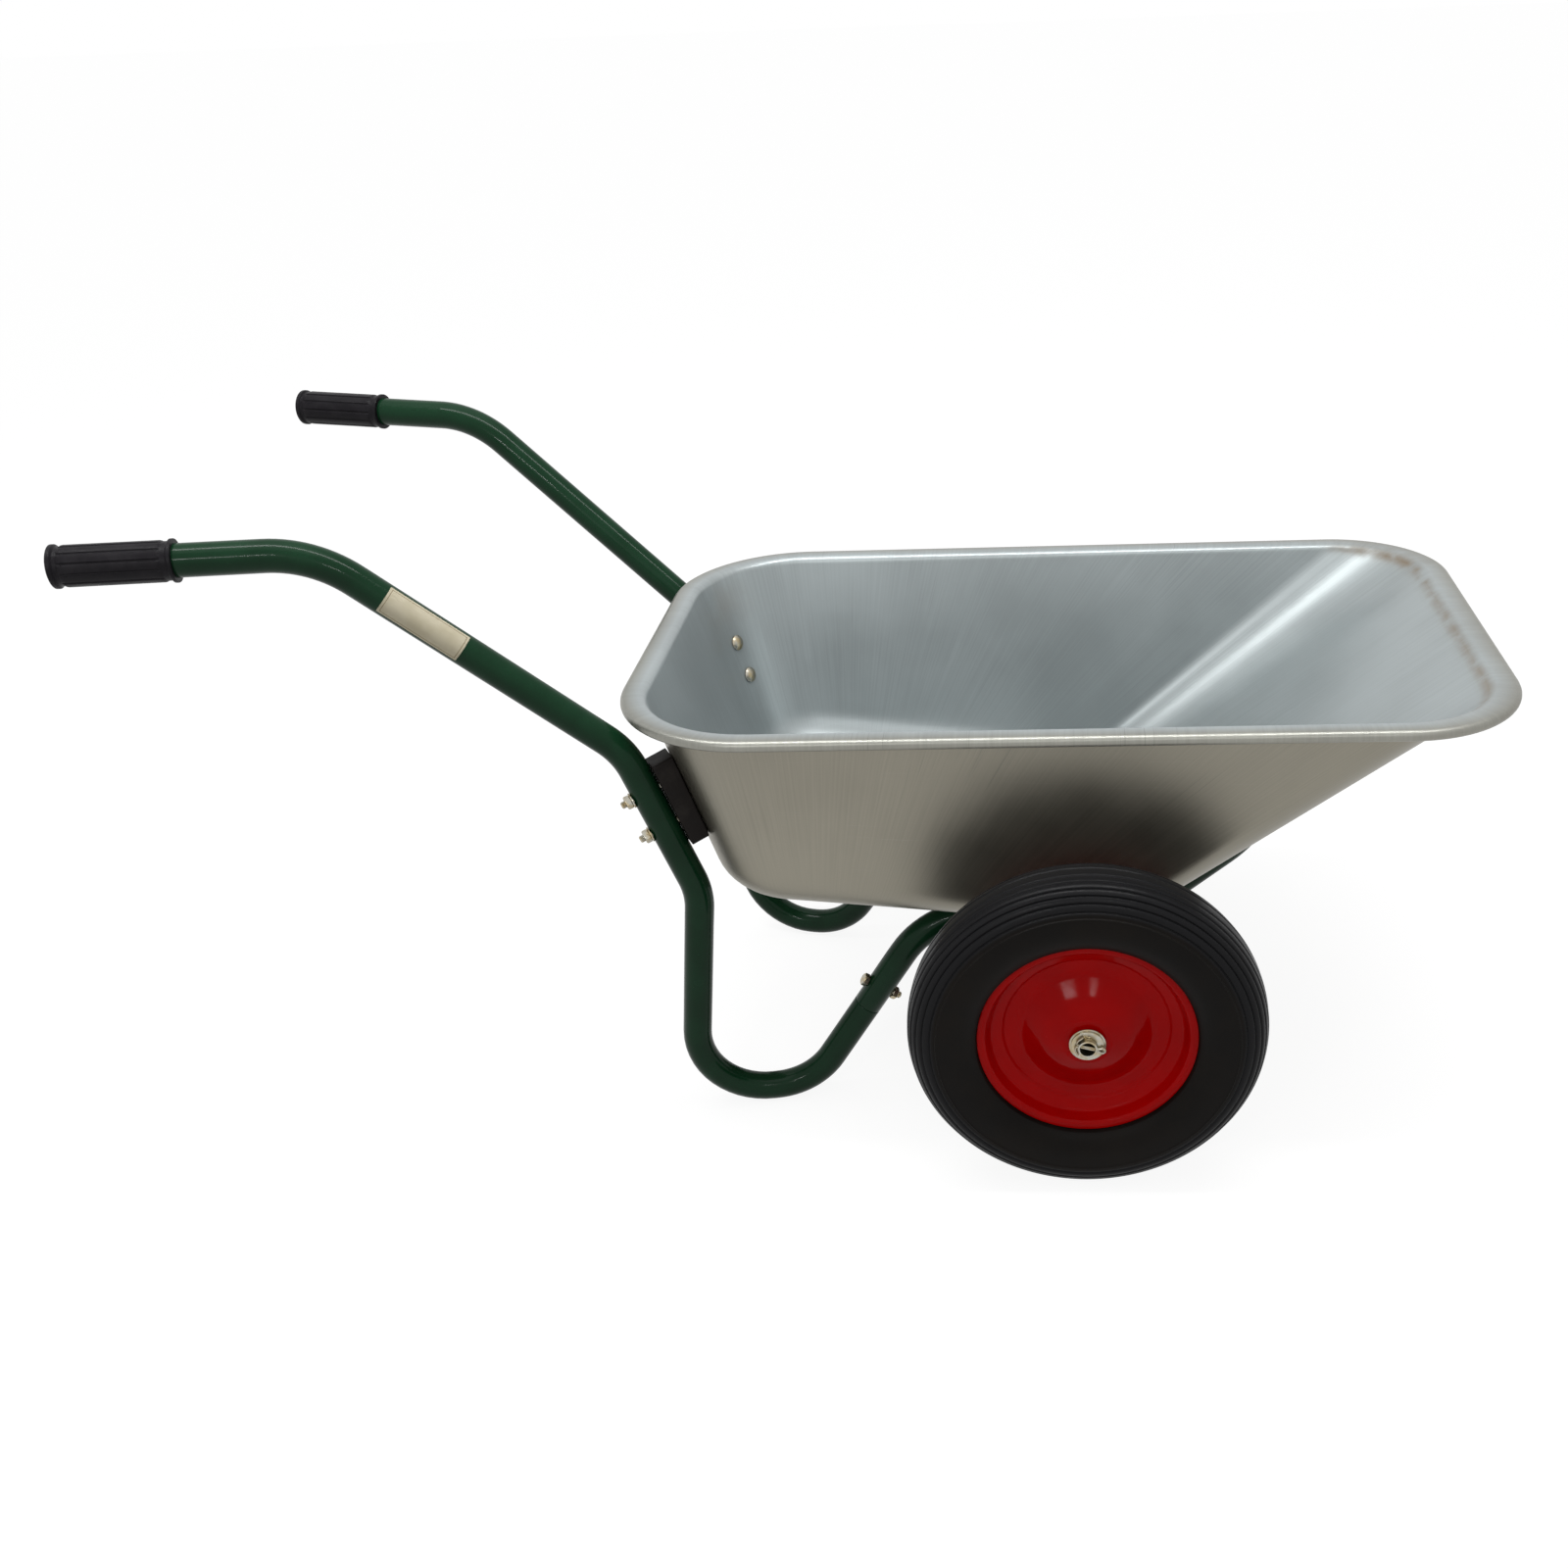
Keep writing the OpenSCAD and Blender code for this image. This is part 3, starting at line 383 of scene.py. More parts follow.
def solids(node: str) -> list[Array]:
    """The separate solids of a construction node.

    Points that coincide are merged, and each then takes the lowest label of the triangles around it until
    no label changes.

    Args:
        node: Name of the node.

    Returns:
        The points of each solid.
    """
    mesh = frame["nodes"][node].data
    points = np.empty(len(mesh.vertices) * 3)
    mesh.vertices.foreach_get("co", points)
    corners = np.empty(len(mesh.loops), int)
    mesh.loops.foreach_get("vertex_index", corners)
    merged, index = np.unique(np.round(points.reshape(-1, 3), 6), axis=0, return_inverse=True)
    triangles = index.ravel()[corners].reshape(-1, 3)
    label = np.arange(len(merged))
    while True:
        lower = label.copy()
        np.minimum.at(lower, triangles.ravel(), np.repeat(label[triangles].min(axis=1), 3))
        if np.array_equal(lower, label):
            break
        label = lower
    return [merged[label == k] for k in np.unique(label)]


def disc_axis(points: Array) -> tuple[Array, Array]:
    """The middle and the axis of a nut, washer or ring: the direction in which its points spread least."""
    middle = (points.min(axis=0) + points.max(axis=0)) / 2
    return middle, np.linalg.eigh(np.cov(points.T))[1][:, 0]


# Shader nodes

class NodeTree:
    """Adds and links the nodes of a material or a world."""

    def __init__(self, owner: bpy.types.Material | bpy.types.World) -> None:
        """Starts the owner's nodes."""
        owner.use_nodes = True
        self.tree = owner.node_tree

    def node(self, kind: str, inputs: dict[str | int, object], **settings: object) -> bpy.types.Node:
        """Adds a node.

        Args:
            kind: The node's type.
            inputs: Values, or sockets to link, by input name or number.
            settings: Attributes of the node.

        Returns:
            The node.
        """
        made = self.tree.nodes.new(kind)
        for key, value in settings.items():
            setattr(made, key, value)
        for key, value in inputs.items():
            self.feed(made.inputs[key], value)
        return made

    def feed(self, target: Socket, value: object) -> None:
        """Links a socket to an input, or sets the input's value.

        Args:
            target: The input.
            value: A socket, a number or a colour.
        """
        if isinstance(value, bpy.types.NodeSocket):
            self.tree.links.new(value, target)
        elif isinstance(value, tuple) and len(value) == 3 and target.type == "RGBA":
            target.default_value = (*value, 1.0)
        else:
            target.default_value = value

    def math(self, operation: str, a: object, b: object) -> Socket:
        """An arithmetic operation on two values."""
        return self.node("ShaderNodeMath", {0: a, 1: b}, operation=operation).outputs["Value"]

    def times(self, a: object, b: object) -> Socket:
        """The product of two values."""
        return self.math("MULTIPLY", a, b)

    def plus(self, a: object, b: object) -> Socket:
        """The sum of two values."""
        return self.math("ADD", a, b)

    def seen(self) -> Socket:
        """1 on rays from the eye, through glass or off a gloss, and 0 on rays that only carry light."""
        path = self.node("ShaderNodeLightPath", {}).outputs
        clear = self.math("MAXIMUM", path["Is Camera Ray"], path["Is Transmission Ray"])
        return self.math("MAXIMUM", clear, path["Is Glossy Ray"])


class Shader(NodeTree):
    """Adds and links the nodes of one material with a principled surface."""

    def __init__(self, name: str) -> None:
        """Starts the material."""
        self.material = bpy.data.materials.new(name)
        super().__init__(self.material)
        self.surface = self.tree.nodes["Principled BSDF"]

    def place(self) -> Socket:
        """Place on the object, in metres."""
        return self.node("ShaderNodeTexCoord", {}).outputs["Object"]

    def pattern(self) -> Socket:
        """Place on the piece's own pattern map."""
        return self.node("ShaderNodeUVMap", {}, uv_map=FLOW).outputs["UV"]

    def mark(self, name: str) -> Socket:
        """A value that the piece carries at each point."""
        return self.node("ShaderNodeAttribute", {}, attribute_name=name).outputs["Fac"]

    def noise(self, where: Socket, scale: float, detail: float = 3.0, rough: float = 0.5) -> Socket:
        """Fractal noise about one half."""
        inputs = {"Vector": where, "Scale": scale, "Detail": detail, "Roughness": rough}
        return self.node("ShaderNodeTexNoise", inputs).outputs["Fac"]

    def streaks(self, where: Socket, scale: Triple, detail: float = 3.0) -> Socket:
        """Noise on a place that is scaled differently along each axis."""
        drawn = self.node("ShaderNodeMapping", {"Vector": where, "Scale": scale}).outputs["Vector"]
        return self.noise(drawn, 1.0, detail)

    def band(self, value: Socket, low: float, high: float, start: float = 0.0, end: float = 1.0) -> Socket:
        """A smooth change from start to end as a value goes from low to high."""
        inputs = {"Value": value, "From Min": low, "From Max": high, "To Min": start, "To Max": end}
        return self.node("ShaderNodeMapRange", inputs, interpolation_type="SMOOTHSTEP").outputs["Result"]

    def blend(self, share: object, low: object, high: object, how: str = "MIX") -> Socket:
        """A mix of two colours."""
        inputs = {0: share, 6: low, 7: high}
        return self.node("ShaderNodeMix", inputs, data_type="RGBA", blend_type=how).outputs[2]

    def grey(self, value: Socket) -> Socket:
        """A grey of the given value."""
        inputs = {"Red": value, "Green": value, "Blue": value}
        return self.node("ShaderNodeCombineColor", inputs).outputs["Color"]

    def bump(self, height: Socket, strength: float, distance: float) -> Socket:
        """A surface normal disturbed by a height in metres times distance."""
        inputs = {"Height": height, "Strength": strength, "Distance": distance}
        return self.node("ShaderNodeBump", inputs).outputs["Normal"]

    def dress(self, **inputs: object) -> bpy.types.Material:
        """Feeds the surface's inputs, named with underscores for spaces, and returns the material."""
        for key, value in inputs.items():
            self.feed(self.surface.inputs[key.replace("_", " ")], value)
        return self.material


@dataclass(frozen=True)
class Finish:
    """A finish that makes its material once."""

    name: str

    def material(self) -> bpy.types.Material:
        """The material, made at its first use."""
        return bpy.data.materials.get(self.name) or self.paint(Shader(self.name))

    def paint(self, shader: Shader) -> bpy.types.Material:
        """Builds the material's nodes.

        Args:
            shader: The new material's nodes.

        Returns:
            The material.
        """
        raise NotImplementedError


@dataclass(frozen=True)
class GalvanisedSheet(Finish):
    """Zinc-coated sheet with upright drawing marks, faint clouds, cross scratches and rubbed-in soil, painted
    lighter and bluer inside than outside as painted light.
    """

    # Painted light: one zinc, given a darker, warmer colour outside and a lighter, bluer colour inside.
    warm_outside_painted_shade: Colour = (0.25, 0.235, 0.192)
    cool_inside_painted_light: Colour = (0.355, 0.39, 0.395)
    soil: Colour = (0.20, 0.155, 0.105)
    comb: Colour = (0.10, 0.10, 0.09)
    scratch: Colour = (0.42, 0.42, 0.41)
    upright_scale: Triple = (380.0, 4.0, 1.0)
    level_scale: Triple = (4.0, 260.0, 4.0)
    line_scale: Triple = (900.0, 3.0, 1.0)
    patch_scale: Triple = (9.0, 7.0, 1.0)
    scratch_scale: Triple = (7.0, 650.0, 1.0)
    cloud_scale: float = 6.0
    grain_scale: float = 700.0
    soil_scale: float = 38.0

    def paint(self, shader: Shader) -> bpy.types.Material:
        """Builds the material's nodes."""
        place, pattern = shader.place(), shader.pattern()
        inside, floor = shader.mark("inside"), shader.mark("floor")
        cloud = shader.noise(place, self.cloud_scale, 4.0)
        grain = shader.noise(place, self.grain_scale, 2.0)
        wall = shader.band(floor, 0.0, 1.0, 1.0, 0.0)
        upright = shader.times(shader.streaks(pattern, self.upright_scale), wall)
        level = shader.times(shader.streaks(place, self.level_scale), floor)
        streak = shader.plus(upright, level)
        lines = shader.band(shader.streaks(pattern, self.line_scale, 1.0), 0.62, 0.72)
        patches = shader.band(shader.streaks(pattern, self.patch_scale, 2.0), 0.48, 0.66)
        combed = shader.times(shader.times(lines, patches), shader.mark("comb"))
        scratched = shader.band(shader.streaks(pattern, self.scratch_scale, 1.0), 0.70, 0.76)
        specks = shader.band(shader.noise(place, self.soil_scale, 6.0), 0.18, 0.66)
        rubbed = shader.times(shader.mark("soil"), specks)
        # Painted light: the inside mark blends the darker outside colour into the lighter, bluer inside one.
        base = shader.blend(inside, self.warm_outside_painted_shade, self.cool_inside_painted_light)
        shade = shader.band(shader.plus(cloud, shader.times(streak, 0.7)), 0.55, 1.15, 0.88, 1.07)
        toned = shader.blend(1.0, base, shader.grey(shade), "MULTIPLY")
        marked = shader.blend(shader.times(combed, 0.6), toned, self.comb)
        bright = shader.blend(shader.times(scratched, 0.10), marked, self.scratch)
        outside = shader.band(inside, 0.0, 1.0, 0.015, 0.0)
        zinc = shader.band(inside, 0.0, 1.0, 0.96, 0.62)
        sheen = shader.plus(shader.band(cloud, 0.25, 0.75, 0.30, 0.38), outside)
        rough = shader.plus(sheen, shader.times(streak, 0.08))
        relief = shader.plus(shader.times(streak, 0.6), shader.times(grain, 0.4))
        return shader.dress(
            Base_Color=shader.blend(rubbed, bright, self.soil),
            Metallic=shader.math("SUBTRACT", zinc, shader.times(rubbed, 0.6)),
            Roughness=shader.plus(rough, shader.times(rubbed, 0.35)),
            Normal=shader.bump(relief, 0.07, 0.0006),
        )


@dataclass(frozen=True)
class GlossPaint(Finish):
    """Sprayed gloss paint with orange peel, faint mottling and small dull scuffs."""

    colour: Colour = (0.0065, 0.038, 0.0155)
    deep: Colour = (0.0045, 0.030, 0.0115)
    scuff: Colour = (0.016, 0.050, 0.027)
    rough: float = 0.24
    gloss: float = 0.06
    coat_rough: float = 0.06
    mottle_scale: float = 26.0
    peel_scale: float = 420.0
    scuff_scale: float = 120.0

    def paint(self, shader: Shader) -> bpy.types.Material:
        """Builds the material's nodes."""
        place = shader.place()
        mottle = shader.noise(place, self.mottle_scale, 4.0)
        peel = shader.noise(place, self.peel_scale, 1.0)
        worn = shader.band(shader.noise(place, self.scuff_scale, 6.0, 0.65), 0.67, 0.72)
        tone = shader.blend(shader.band(mottle, 0.3, 0.7), self.deep, self.colour)
        rough = shader.band(mottle, 0.25, 0.75, self.rough * 0.85, self.rough * 1.2)
        return shader.dress(
            Base_Color=shader.blend(shader.times(worn, 0.35), tone, self.scuff),
            Roughness=shader.plus(rough, shader.times(worn, 0.25)),
            Specular_IOR_Level=self.gloss,
            Coat_Weight=self.gloss * 2,
            Coat_Roughness=self.coat_rough,
            Normal=shader.bump(peel, 0.035, 0.0003),
        )


@dataclass(frozen=True)
class Rubber(Finish):
    """Matt black rubber with a brownish bloom, fine pores and a smoother tread, whose greyer, bluer colour is
    a painted sheen.
    """

    colour: Colour = (0.0042, 0.0034, 0.0028)
    bloom: Colour = (0.0085, 0.0068, 0.0054)
    # Painted sheen: the greyer, bluer colour of the tread.
    tread: Colour = (0.0105, 0.0105, 0.0115)
    rough: float = 0.44
    gloss: float = 0.08
    bloom_scale: float = 18.0
    pore_scale: float = 900.0

    def paint(self, shader: Shader) -> bpy.types.Material:
        """Builds the material's nodes."""
        place = shader.place()
        # The tread mark lowers the roughness, which is real, and paints the sheen's greyer colour.
        tread = shader.mark("tread")
        dust = shader.noise(place, self.bloom_scale, 5.0, 0.6)
        pores = shader.noise(place, self.pore_scale, 2.0)
        side = shader.blend(shader.band(dust, 0.35, 0.75), self.colour, self.bloom)
        rough = shader.band(dust, 0.2, 0.8, self.rough - 0.08, self.rough + 0.14)
        return shader.dress(
            Base_Color=shader.blend(tread, side, self.tread),
            Roughness=shader.math("SUBTRACT", rough, shader.times(tread, 0.14)),
            Specular_IOR_Level=self.gloss,
            Normal=shader.bump(pores, 0.18, 0.0004),
        )


@dataclass(frozen=True)
class MouldedPlastic(Finish):
    """Moulded plastic with a fine grain and rubbed paler patches."""

    colour: Colour = (0.0085, 0.0075, 0.0095)
    rubbed: Colour = (0.017, 0.0155, 0.018)
    rough: float = 0.38
    gloss: float = 0.10
    wear_scale: float = 42.0
    grain_scale: float = 1100.0

    def paint(self, shader: Shader) -> bpy.types.Material:
        """Builds the material's nodes."""
        place = shader.place()
        wear = shader.noise(place, self.wear_scale, 5.0, 0.6)
        grain = shader.noise(place, self.grain_scale, 2.0)
        return shader.dress(
            Base_Color=shader.blend(shader.band(wear, 0.45, 0.75), self.colour, self.rubbed),
            Roughness=shader.band(wear, 0.25, 0.75, self.rough - 0.06, self.rough + 0.12),
            Specular_IOR_Level=self.gloss,
            Normal=shader.bump(grain, 0.16, 0.0003),
        )


@dataclass(frozen=True)
class ZincPlate(Finish):
    """Zinc plate with a yellow tint that comes and goes, and faint stains."""

    bright: Colour = (0.42, 0.405, 0.35)
    yellow: Colour = (0.40, 0.33, 0.205)
    stain: Colour = (0.12, 0.085, 0.05)
    tint_scale: float = 140.0
    stain_scale: float = 210.0
    grain_scale: float = 1500.0

    def paint(self, shader: Shader) -> bpy.types.Material:
        """Builds the material's nodes."""
        place = shader.place()
        tint = shader.noise(place, self.tint_scale, 3.0)
        stained = shader.band(shader.noise(place, self.stain_scale, 4.0), 0.62, 0.75)
        grain = shader.noise(place, self.grain_scale, 2.0)
        tone = shader.blend(shader.band(tint, 0.35, 0.65), self.bright, self.yellow)
        return shader.dress(
            Base_Color=shader.blend(shader.times(stained, 0.55), tone, self.stain),
            Metallic=1.0,
            Roughness=shader.band(tint, 0.25, 0.75, 0.26, 0.40),
            Normal=shader.bump(grain, 0.12, 0.0003),
        )


@dataclass(frozen=True)
class LabelFilm(Finish):
    """Plain cream film with a thin border line that follows its edge."""

    cream: Colour = (0.56, 0.51, 0.38)
    aged: Colour = (0.51, 0.46, 0.33)
    border: Colour = (0.20, 0.15, 0.08)
    inset: float = 0.0022
    line: float = 0.0006
    gloss: float = 0.2
    fibre_scale: float = 60.0

    def paint(self, shader: Shader) -> bpy.types.Material:
        """Builds the material's nodes."""
        fibres = shader.noise(shader.place(), self.fibre_scale, 2.0)
        edge = shader.mark("edge")
        start = shader.band(edge, self.inset, self.inset + self.line / 2)
        stop = shader.band(edge, self.inset + self.line, self.inset + self.line * 1.5, 1.0, 0.0)
        tone = shader.blend(shader.band(fibres, 0.35, 0.7), self.cream, self.aged)
        return shader.dress(
            Base_Color=shader.blend(shader.times(start, stop), tone, self.border),
            Roughness=shader.band(fibres, 0.3, 0.7, 0.44, 0.54),
            Specular_IOR_Level=self.gloss,
            Normal=shader.bump(fibres, 0.03, 0.0003),
        )


SHEET = GalvanisedSheet("galvanised sheet")
GREEN = GlossPaint("green gloss paint")
RED = GlossPaint("red gloss enamel", colour=(0.445, 0.001, 0.001), deep=(0.395, 0.001, 0.001),
                 scuff=(0.47, 0.008, 0.008), rough=0.12, gloss=0.027)
TYRE = Rubber("tyre rubber")
SOFT_RUBBER = Rubber("soft rubber", colour=(0.012, 0.012, 0.012), bloom=(0.02, 0.019, 0.018), rough=0.5)
GRIP = MouldedPlastic("grip plastic")
BLOCK = MouldedPlastic("block plastic", colour=(0.0105, 0.0085, 0.0078), rubbed=(0.024, 0.021, 0.019),
                       rough=0.5)
BUSH = MouldedPlastic("bush nylon", colour=(0.62, 0.58, 0.48), rubbed=(0.50, 0.45, 0.36), rough=0.4)
ZINC = ZincPlate("zinc plate")
LABEL = LabelFilm("label film")


# Sub-assemblies

@dataclass
class FrameLines:
    """Centre lines of the bent tubes, from the sizes that the construction drives them with."""

    axle: Array
    tube_r: float = 0.016
    tube_wall: float = 0.0015
    toe: float = np.radians(10.8)
    leg: tuple[float, float] = (-0.360906, 0.1852)
    handle_end: tuple[float, float] = (-0.605, 0.699)
    handle_bend: tuple[float, float] = (-0.377, 0.693)
    block_bend: tuple[float, float] = (-0.1165, 0.459895)
    knee: tuple[float, float] = (-0.058, 0.285291)
    foot_rear: tuple[float, float] = (-0.091, 0.016)
    foot_fore: tuple[float, float] = (0.047, 0.016)
    rail_y: float = 0.1485
    rail_toe: float = np.radians(5.5)
    rail_height: float = 0.2145
    floor_slope: float = -0.100457
    nose_x: float = 0.051466
    nose_angle: float = np.radians(37.1916)
    hoop_reach: float = 0.196
    seam_run: float = 0.121
    handle_bends: tuple[float, ...] = (0.0, 0.120, 0.088, 0.088, 0.080, 0.080, 0.0)
    hoop_bends: tuple[float, ...] = (0.0, 0.106, 0.0772, 0.070)

    def in_plane(self, run: float, height: float) -> Array:
        """A point in the left handle's toed plane.

        Args:
            run: Distance ahead of the foot, along the plane.
            height: Height above the ground.

        Returns:
            The point.
        """
        x = self.leg[0] + run * np.cos(self.toe)
        y = self.leg[1] - run * np.sin(self.toe)
        return np.array([self.axle[0] + x, y, height])

    def plane_side(self) -> Array:
        """The direction square to the left handle's plane, outwards."""
        return np.array([np.sin(self.toe), np.cos(self.toe), 0.0])

    def rail_point(self, x: float) -> Array:
        """A point on the left rail.

        Args:
            x: Distance ahead of the axle.

        Returns:
            The point.
        """
        start = self.leg[0] + (self.leg[1] - self.rail_y) / np.tan(self.toe)
        y = self.rail_y - (x - start) * np.tan(self.rail_toe)
        return np.array([self.axle[0] + x, y, self.rail_height + self.floor_slope * x])

    def rail_start(self) -> Array:
        """The corner where the leg's plane meets the left rail."""
        return self.rail_point(self.leg[0] + (self.leg[1] - self.rail_y) / np.tan(self.toe))

    def seam(self) -> tuple[Array, Array]:
        """The place where the left leg slides into the hoop, and the direction of the tube there."""
        foot = self.in_plane(*self.foot_fore)
        along = unit(self.rail_start() - foot)
        return foot + along * self.seam_run, along

    def handle(self) -> tuple[Array, Array]:
        """Points and directions of the left handle tube, from its end to the seam."""
        named = (self.handle_end, self.handle_bend, self.block_bend, self.knee, self.foot_rear,
                 self.foot_fore)
        corners = np.array([self.in_plane(*p) for p in named] + [self.seam()[0]])
        return rounded_path(corners, np.array(self.handle_bends))

    def hoop(self) -> tuple[Array, Array]:
        """Points and directions of the front hoop, from the left seam to the right one."""
        nose = self.rail_point(self.nose_x)
        rise = np.array([np.cos(self.nose_angle), -np.cos(self.nose_angle) * np.tan(self.rail_toe),
                         np.sin(self.nose_angle)])
        half = np.array([self.seam()[0], self.rail_start(), nose, nose + unit(rise) * self.hoop_reach])
        corners = np.concatenate([half, mirrored(half[::-1], Side.RIGHT)])
        return rounded_path(corners, np.array(self.hoop_bends + self.hoop_bends[::-1]))


@dataclass
class Tubes:
    """The two handle tubes and the front hoop."""

    lines: FrameLines
    sides: int = 40
    edge: float = 0.0008
    edge_run: float = 0.00028
    edge_drop: float = 0.00024
    spigot_l: float = 0.05
    spigot_r: float = 0.0144

    def build(self) -> None:
        """Builds the three tubes."""
        for side in Side:
            self.handle(side)
        self.hoop()

    def handle(self, side: Side) -> None:
        """A circle carried along the handle's line, rounded at the seam and drawn in to the spigot.

        Args:
            side: Side of the handle.
        """
        tube_r = self.lines.tube_r
        points, tangents = self.lines.handle()
        seam, along = self.lines.seam()
        run = np.array([-2 * self.edge, -self.edge, -self.edge_run, 0.0, 0.0, self.spigot_l])
        drop = np.array([0.0, 0.0, self.edge_drop, self.edge, tube_r - self.spigot_r, tube_r - self.spigot_r])
        radii = np.concatenate([np.full(len(points) - 1, tube_r), tube_r - drop])
        points = np.concatenate([points[:-1], seam + run[:, None] * along])
        tangents = np.concatenate([tangents[:-1], np.tile(along, (len(run), 1))])
        grid = carried(circle(self.sides), points, tangents, self.lines.plane_side(), radii)
        piece = frame_piece(f"{side.word}_handle_tube", Slot.GREEN, f"handle_tube_{side.word}")
        piece.make([grid_patch(mirrored(grid, side))], GREEN)

    def hoop(self) -> None:
        """A circle carried along the hoop's line, with rounded ends that turn in to the bore."""
        tube_r = self.lines.tube_r
        points, tangents = self.lines.hoop()
        lip = np.array([0.0, 0.0, self.edge_run, self.edge])
        lip_r = tube_r - np.array([self.lines.tube_wall, self.edge, self.edge_drop, 0.0])
        start = points[0] + lip[:, None] * tangents[0]
        stop = points[-1] - lip[::-1, None] * tangents[-1]
        ends = [np.tile(end, (len(lip), 1)) for end in (tangents[0], tangents[-1])]
        radii = np.concatenate([lip_r, np.full(len(points) - 2, tube_r), lip_r[::-1]])
        points = np.concatenate([start, points[1:-1], stop])
        tangents = np.concatenate([ends[0], tangents[1:-1], ends[1]])
        reference = np.array([-np.sin(self.lines.nose_angle), 0.0, np.cos(self.lines.nose_angle)])
        grid = carried(circle(self.sides), points, tangents, reference, radii)
        frame_piece("bent_front_hoop", Slot.GREEN, "front_hoop").make([grid_patch(grid)], GREEN)


@dataclass
class Grips:
    """Ribbed grips pushed on the handle ends, and the plain label film below the right one."""

    lines: FrameLines
    length: float = 0.110
    body_r: float = 0.0183
    collar_r: float = 0.0205
    collar_l: float = 0.005
    collar_flat: float = 1.7
    flange_l: float = 0.0032
    flange_steep: float = 1.6
    plain_l: float = 0.012
    ribs: int = 12
    rib_rise: float = 0.0012
    rib_share: float = 0.80
    rib_side: float = 0.16
    rib_fade: float = 0.003
    cap_t: float = 0.0042
    tip_r: float = 0.0022
    tip_share: float = 0.12
    dome_rise: float = 0.0008
    dome_shares: tuple[float, ...] = (0.12, 0.45, 0.75, 0.93)
    crease_deg: float = 50.0
    sides: int = 240
    rows: int = 90
    collar_rows: int = 24
    label_l: float = 0.086
    label_wrap: float = np.radians(112)
    label_tip: float = np.radians(22)
    label_run: float = 0.117
    label_t: float = 0.0003
    label_gap: float = 9e-9
    label_grid: tuple[int, int] = (33, 61)

    def build(self) -> None:
        """Builds both grips and the label film."""
        for side in Side:
            self.grip(side)
        self.label()

    def grip(self, side: Side) -> None:
        """A turned body whose radius gains flat-topped ribs: r = body + collar bumps + rise * rib(angle).

        The ribs fade in and out before the collars, and the tip is a shallow dome.

        Args:
            side: Side of the grip.
        """
        grip_end = self.lines.in_plane(*self.lines.handle_end)
        out = unit(grip_end - self.lines.in_plane(*self.lines.handle_bend))
        tip = grip_end + out * self.cap_t
        near = np.linspace(0, 2 * self.collar_l, self.collar_rows)
        s = np.unique(np.concatenate([np.linspace(0, self.length, self.rows), near, self.length - near]))
        from_flange = np.abs(self.length - self.flange_l / 2 - s)
        flange = eased((self.flange_l - from_flange) / self.flange_l * self.flange_steep)
        middle = self.collar_l / 2
        collar = eased(self.collar_flat - np.abs(s - middle) / middle) + flange
        from_end = np.stack([s, self.length - s]) - self.plain_l
        rise = np.prod(eased(from_end / self.rib_fade + 1), axis=0)
        angle, ring = ring_about(-out, self.sides)
        wave = np.abs((angle * self.ribs / TURN + 0.25) % 1 - 0.5) * 2
        rib = eased((self.rib_share - wave) / self.rib_side + 0.5)
        radius = self.body_r + (self.collar_r - self.body_r) * collar + self.rib_rise * rib[:, None] * rise
        radius = radius - self.tip_r * (1 - eased(s / self.tip_r + self.tip_share)) ** 2
        dome = np.array(self.dome_shares)
        cap = spun(radius[:, :1] * dome, self.dome_rise * (dome ** 2 - 1), ring, tip, -out)
        bore = spun(np.full((1, 1), self.lines.tube_r), s[-1:], ring, tip, -out)
        grid = np.concatenate([cap, spun(radius, s, ring, tip, -out), bore], axis=1)
        node = f"grip_{side.word}"
        piece = Piece(f"{side.word}_ribbed_grip", Slot.GRIP, "frame", (node,), self.crease_deg)
        piece.make([grid_patch(mirrored(grid, side))], GRIP)

    def label(self) -> None:
        """A film on the right handle's slope: a part ring carried along the tube, with its edge distance."""
        bend = self.lines.in_plane(*self.lines.handle_bend)
        slope = unit(self.lines.in_plane(*self.lines.block_bend) - bend)
        outer = self.lines.plane_side()
        upper = np.cross(slope, outer)
        tube_r = self.lines.tube_r
        angle = np.linspace(-0.5, 0.5, self.label_grid[0]) * self.label_wrap + self.label_tip
        run = np.linspace(-0.5, 0.5, self.label_grid[1]) * self.label_l
        ring = np.cos(angle)[:, None] * outer + np.sin(angle)[:, None] * upper
        ring = np.concatenate([ring * (tube_r + self.label_t), ring[::-1] * (tube_r + self.label_gap)])
        grid = bend + slope * self.label_run + ring[:, None, :] + run[None, :, None] * slope
        from_side = (np.minimum(angle - angle[0], angle[-1] - angle) * tube_r)[:, None]
        from_end = np.minimum(run - run[0], run[-1] - run)[None, :]
        edge = np.minimum(from_side, from_end)
        marks = {"edge": np.concatenate([edge, edge[::-1]])}
        piece = frame_piece("plain_handle_label", Slot.LABEL, "handle_label")
        piece.make([grid_patch(mirrored(grid, Side.RIGHT))], LABEL, marks)


@dataclass
class RoundedBox:
    """An outline with rounded corners, which count from the left of the nose round by the back."""

    back: float
    front: float
    half_w: float
    back_r: float
    front_r: float

    def points(self, angle: Array, share: Array, corner: Array, height: Callable[[Array], Array]) -> Array:
        """Points of the outline: the mix of two corner middles plus the mixed radius along the angle.

        Args:
            angle: Outward angle at each station.
            share: Share of the way to the next corner.
            corner: Number of the corner before the station.
            height: Height as a function of the distance ahead of the axle.

        Returns:
            The points, (stations, 3).
        """
        back, front, half = self.back + self.back_r, self.front - self.front_r, self.half_w
        middles = np.array([[front, half - self.front_r], [back, half - self.back_r],
                            [back, self.back_r - half], [front, self.front_r - half]])
        radii = np.array([self.front_r, self.back_r, self.back_r, self.front_r])
        after = (corner + 1) % len(radii)
        middle = middles[corner] + (middles[after] - middles[corner]) * share[:, None]
        radius = radii[corner] + (radii[after] - radii[corner]) * share
        flat = middle + radius[:, None] * np.stack([np.cos(angle), np.sin(angle)], axis=1)
        return np.concatenate([flat, height(flat[:, :1])], axis=1)


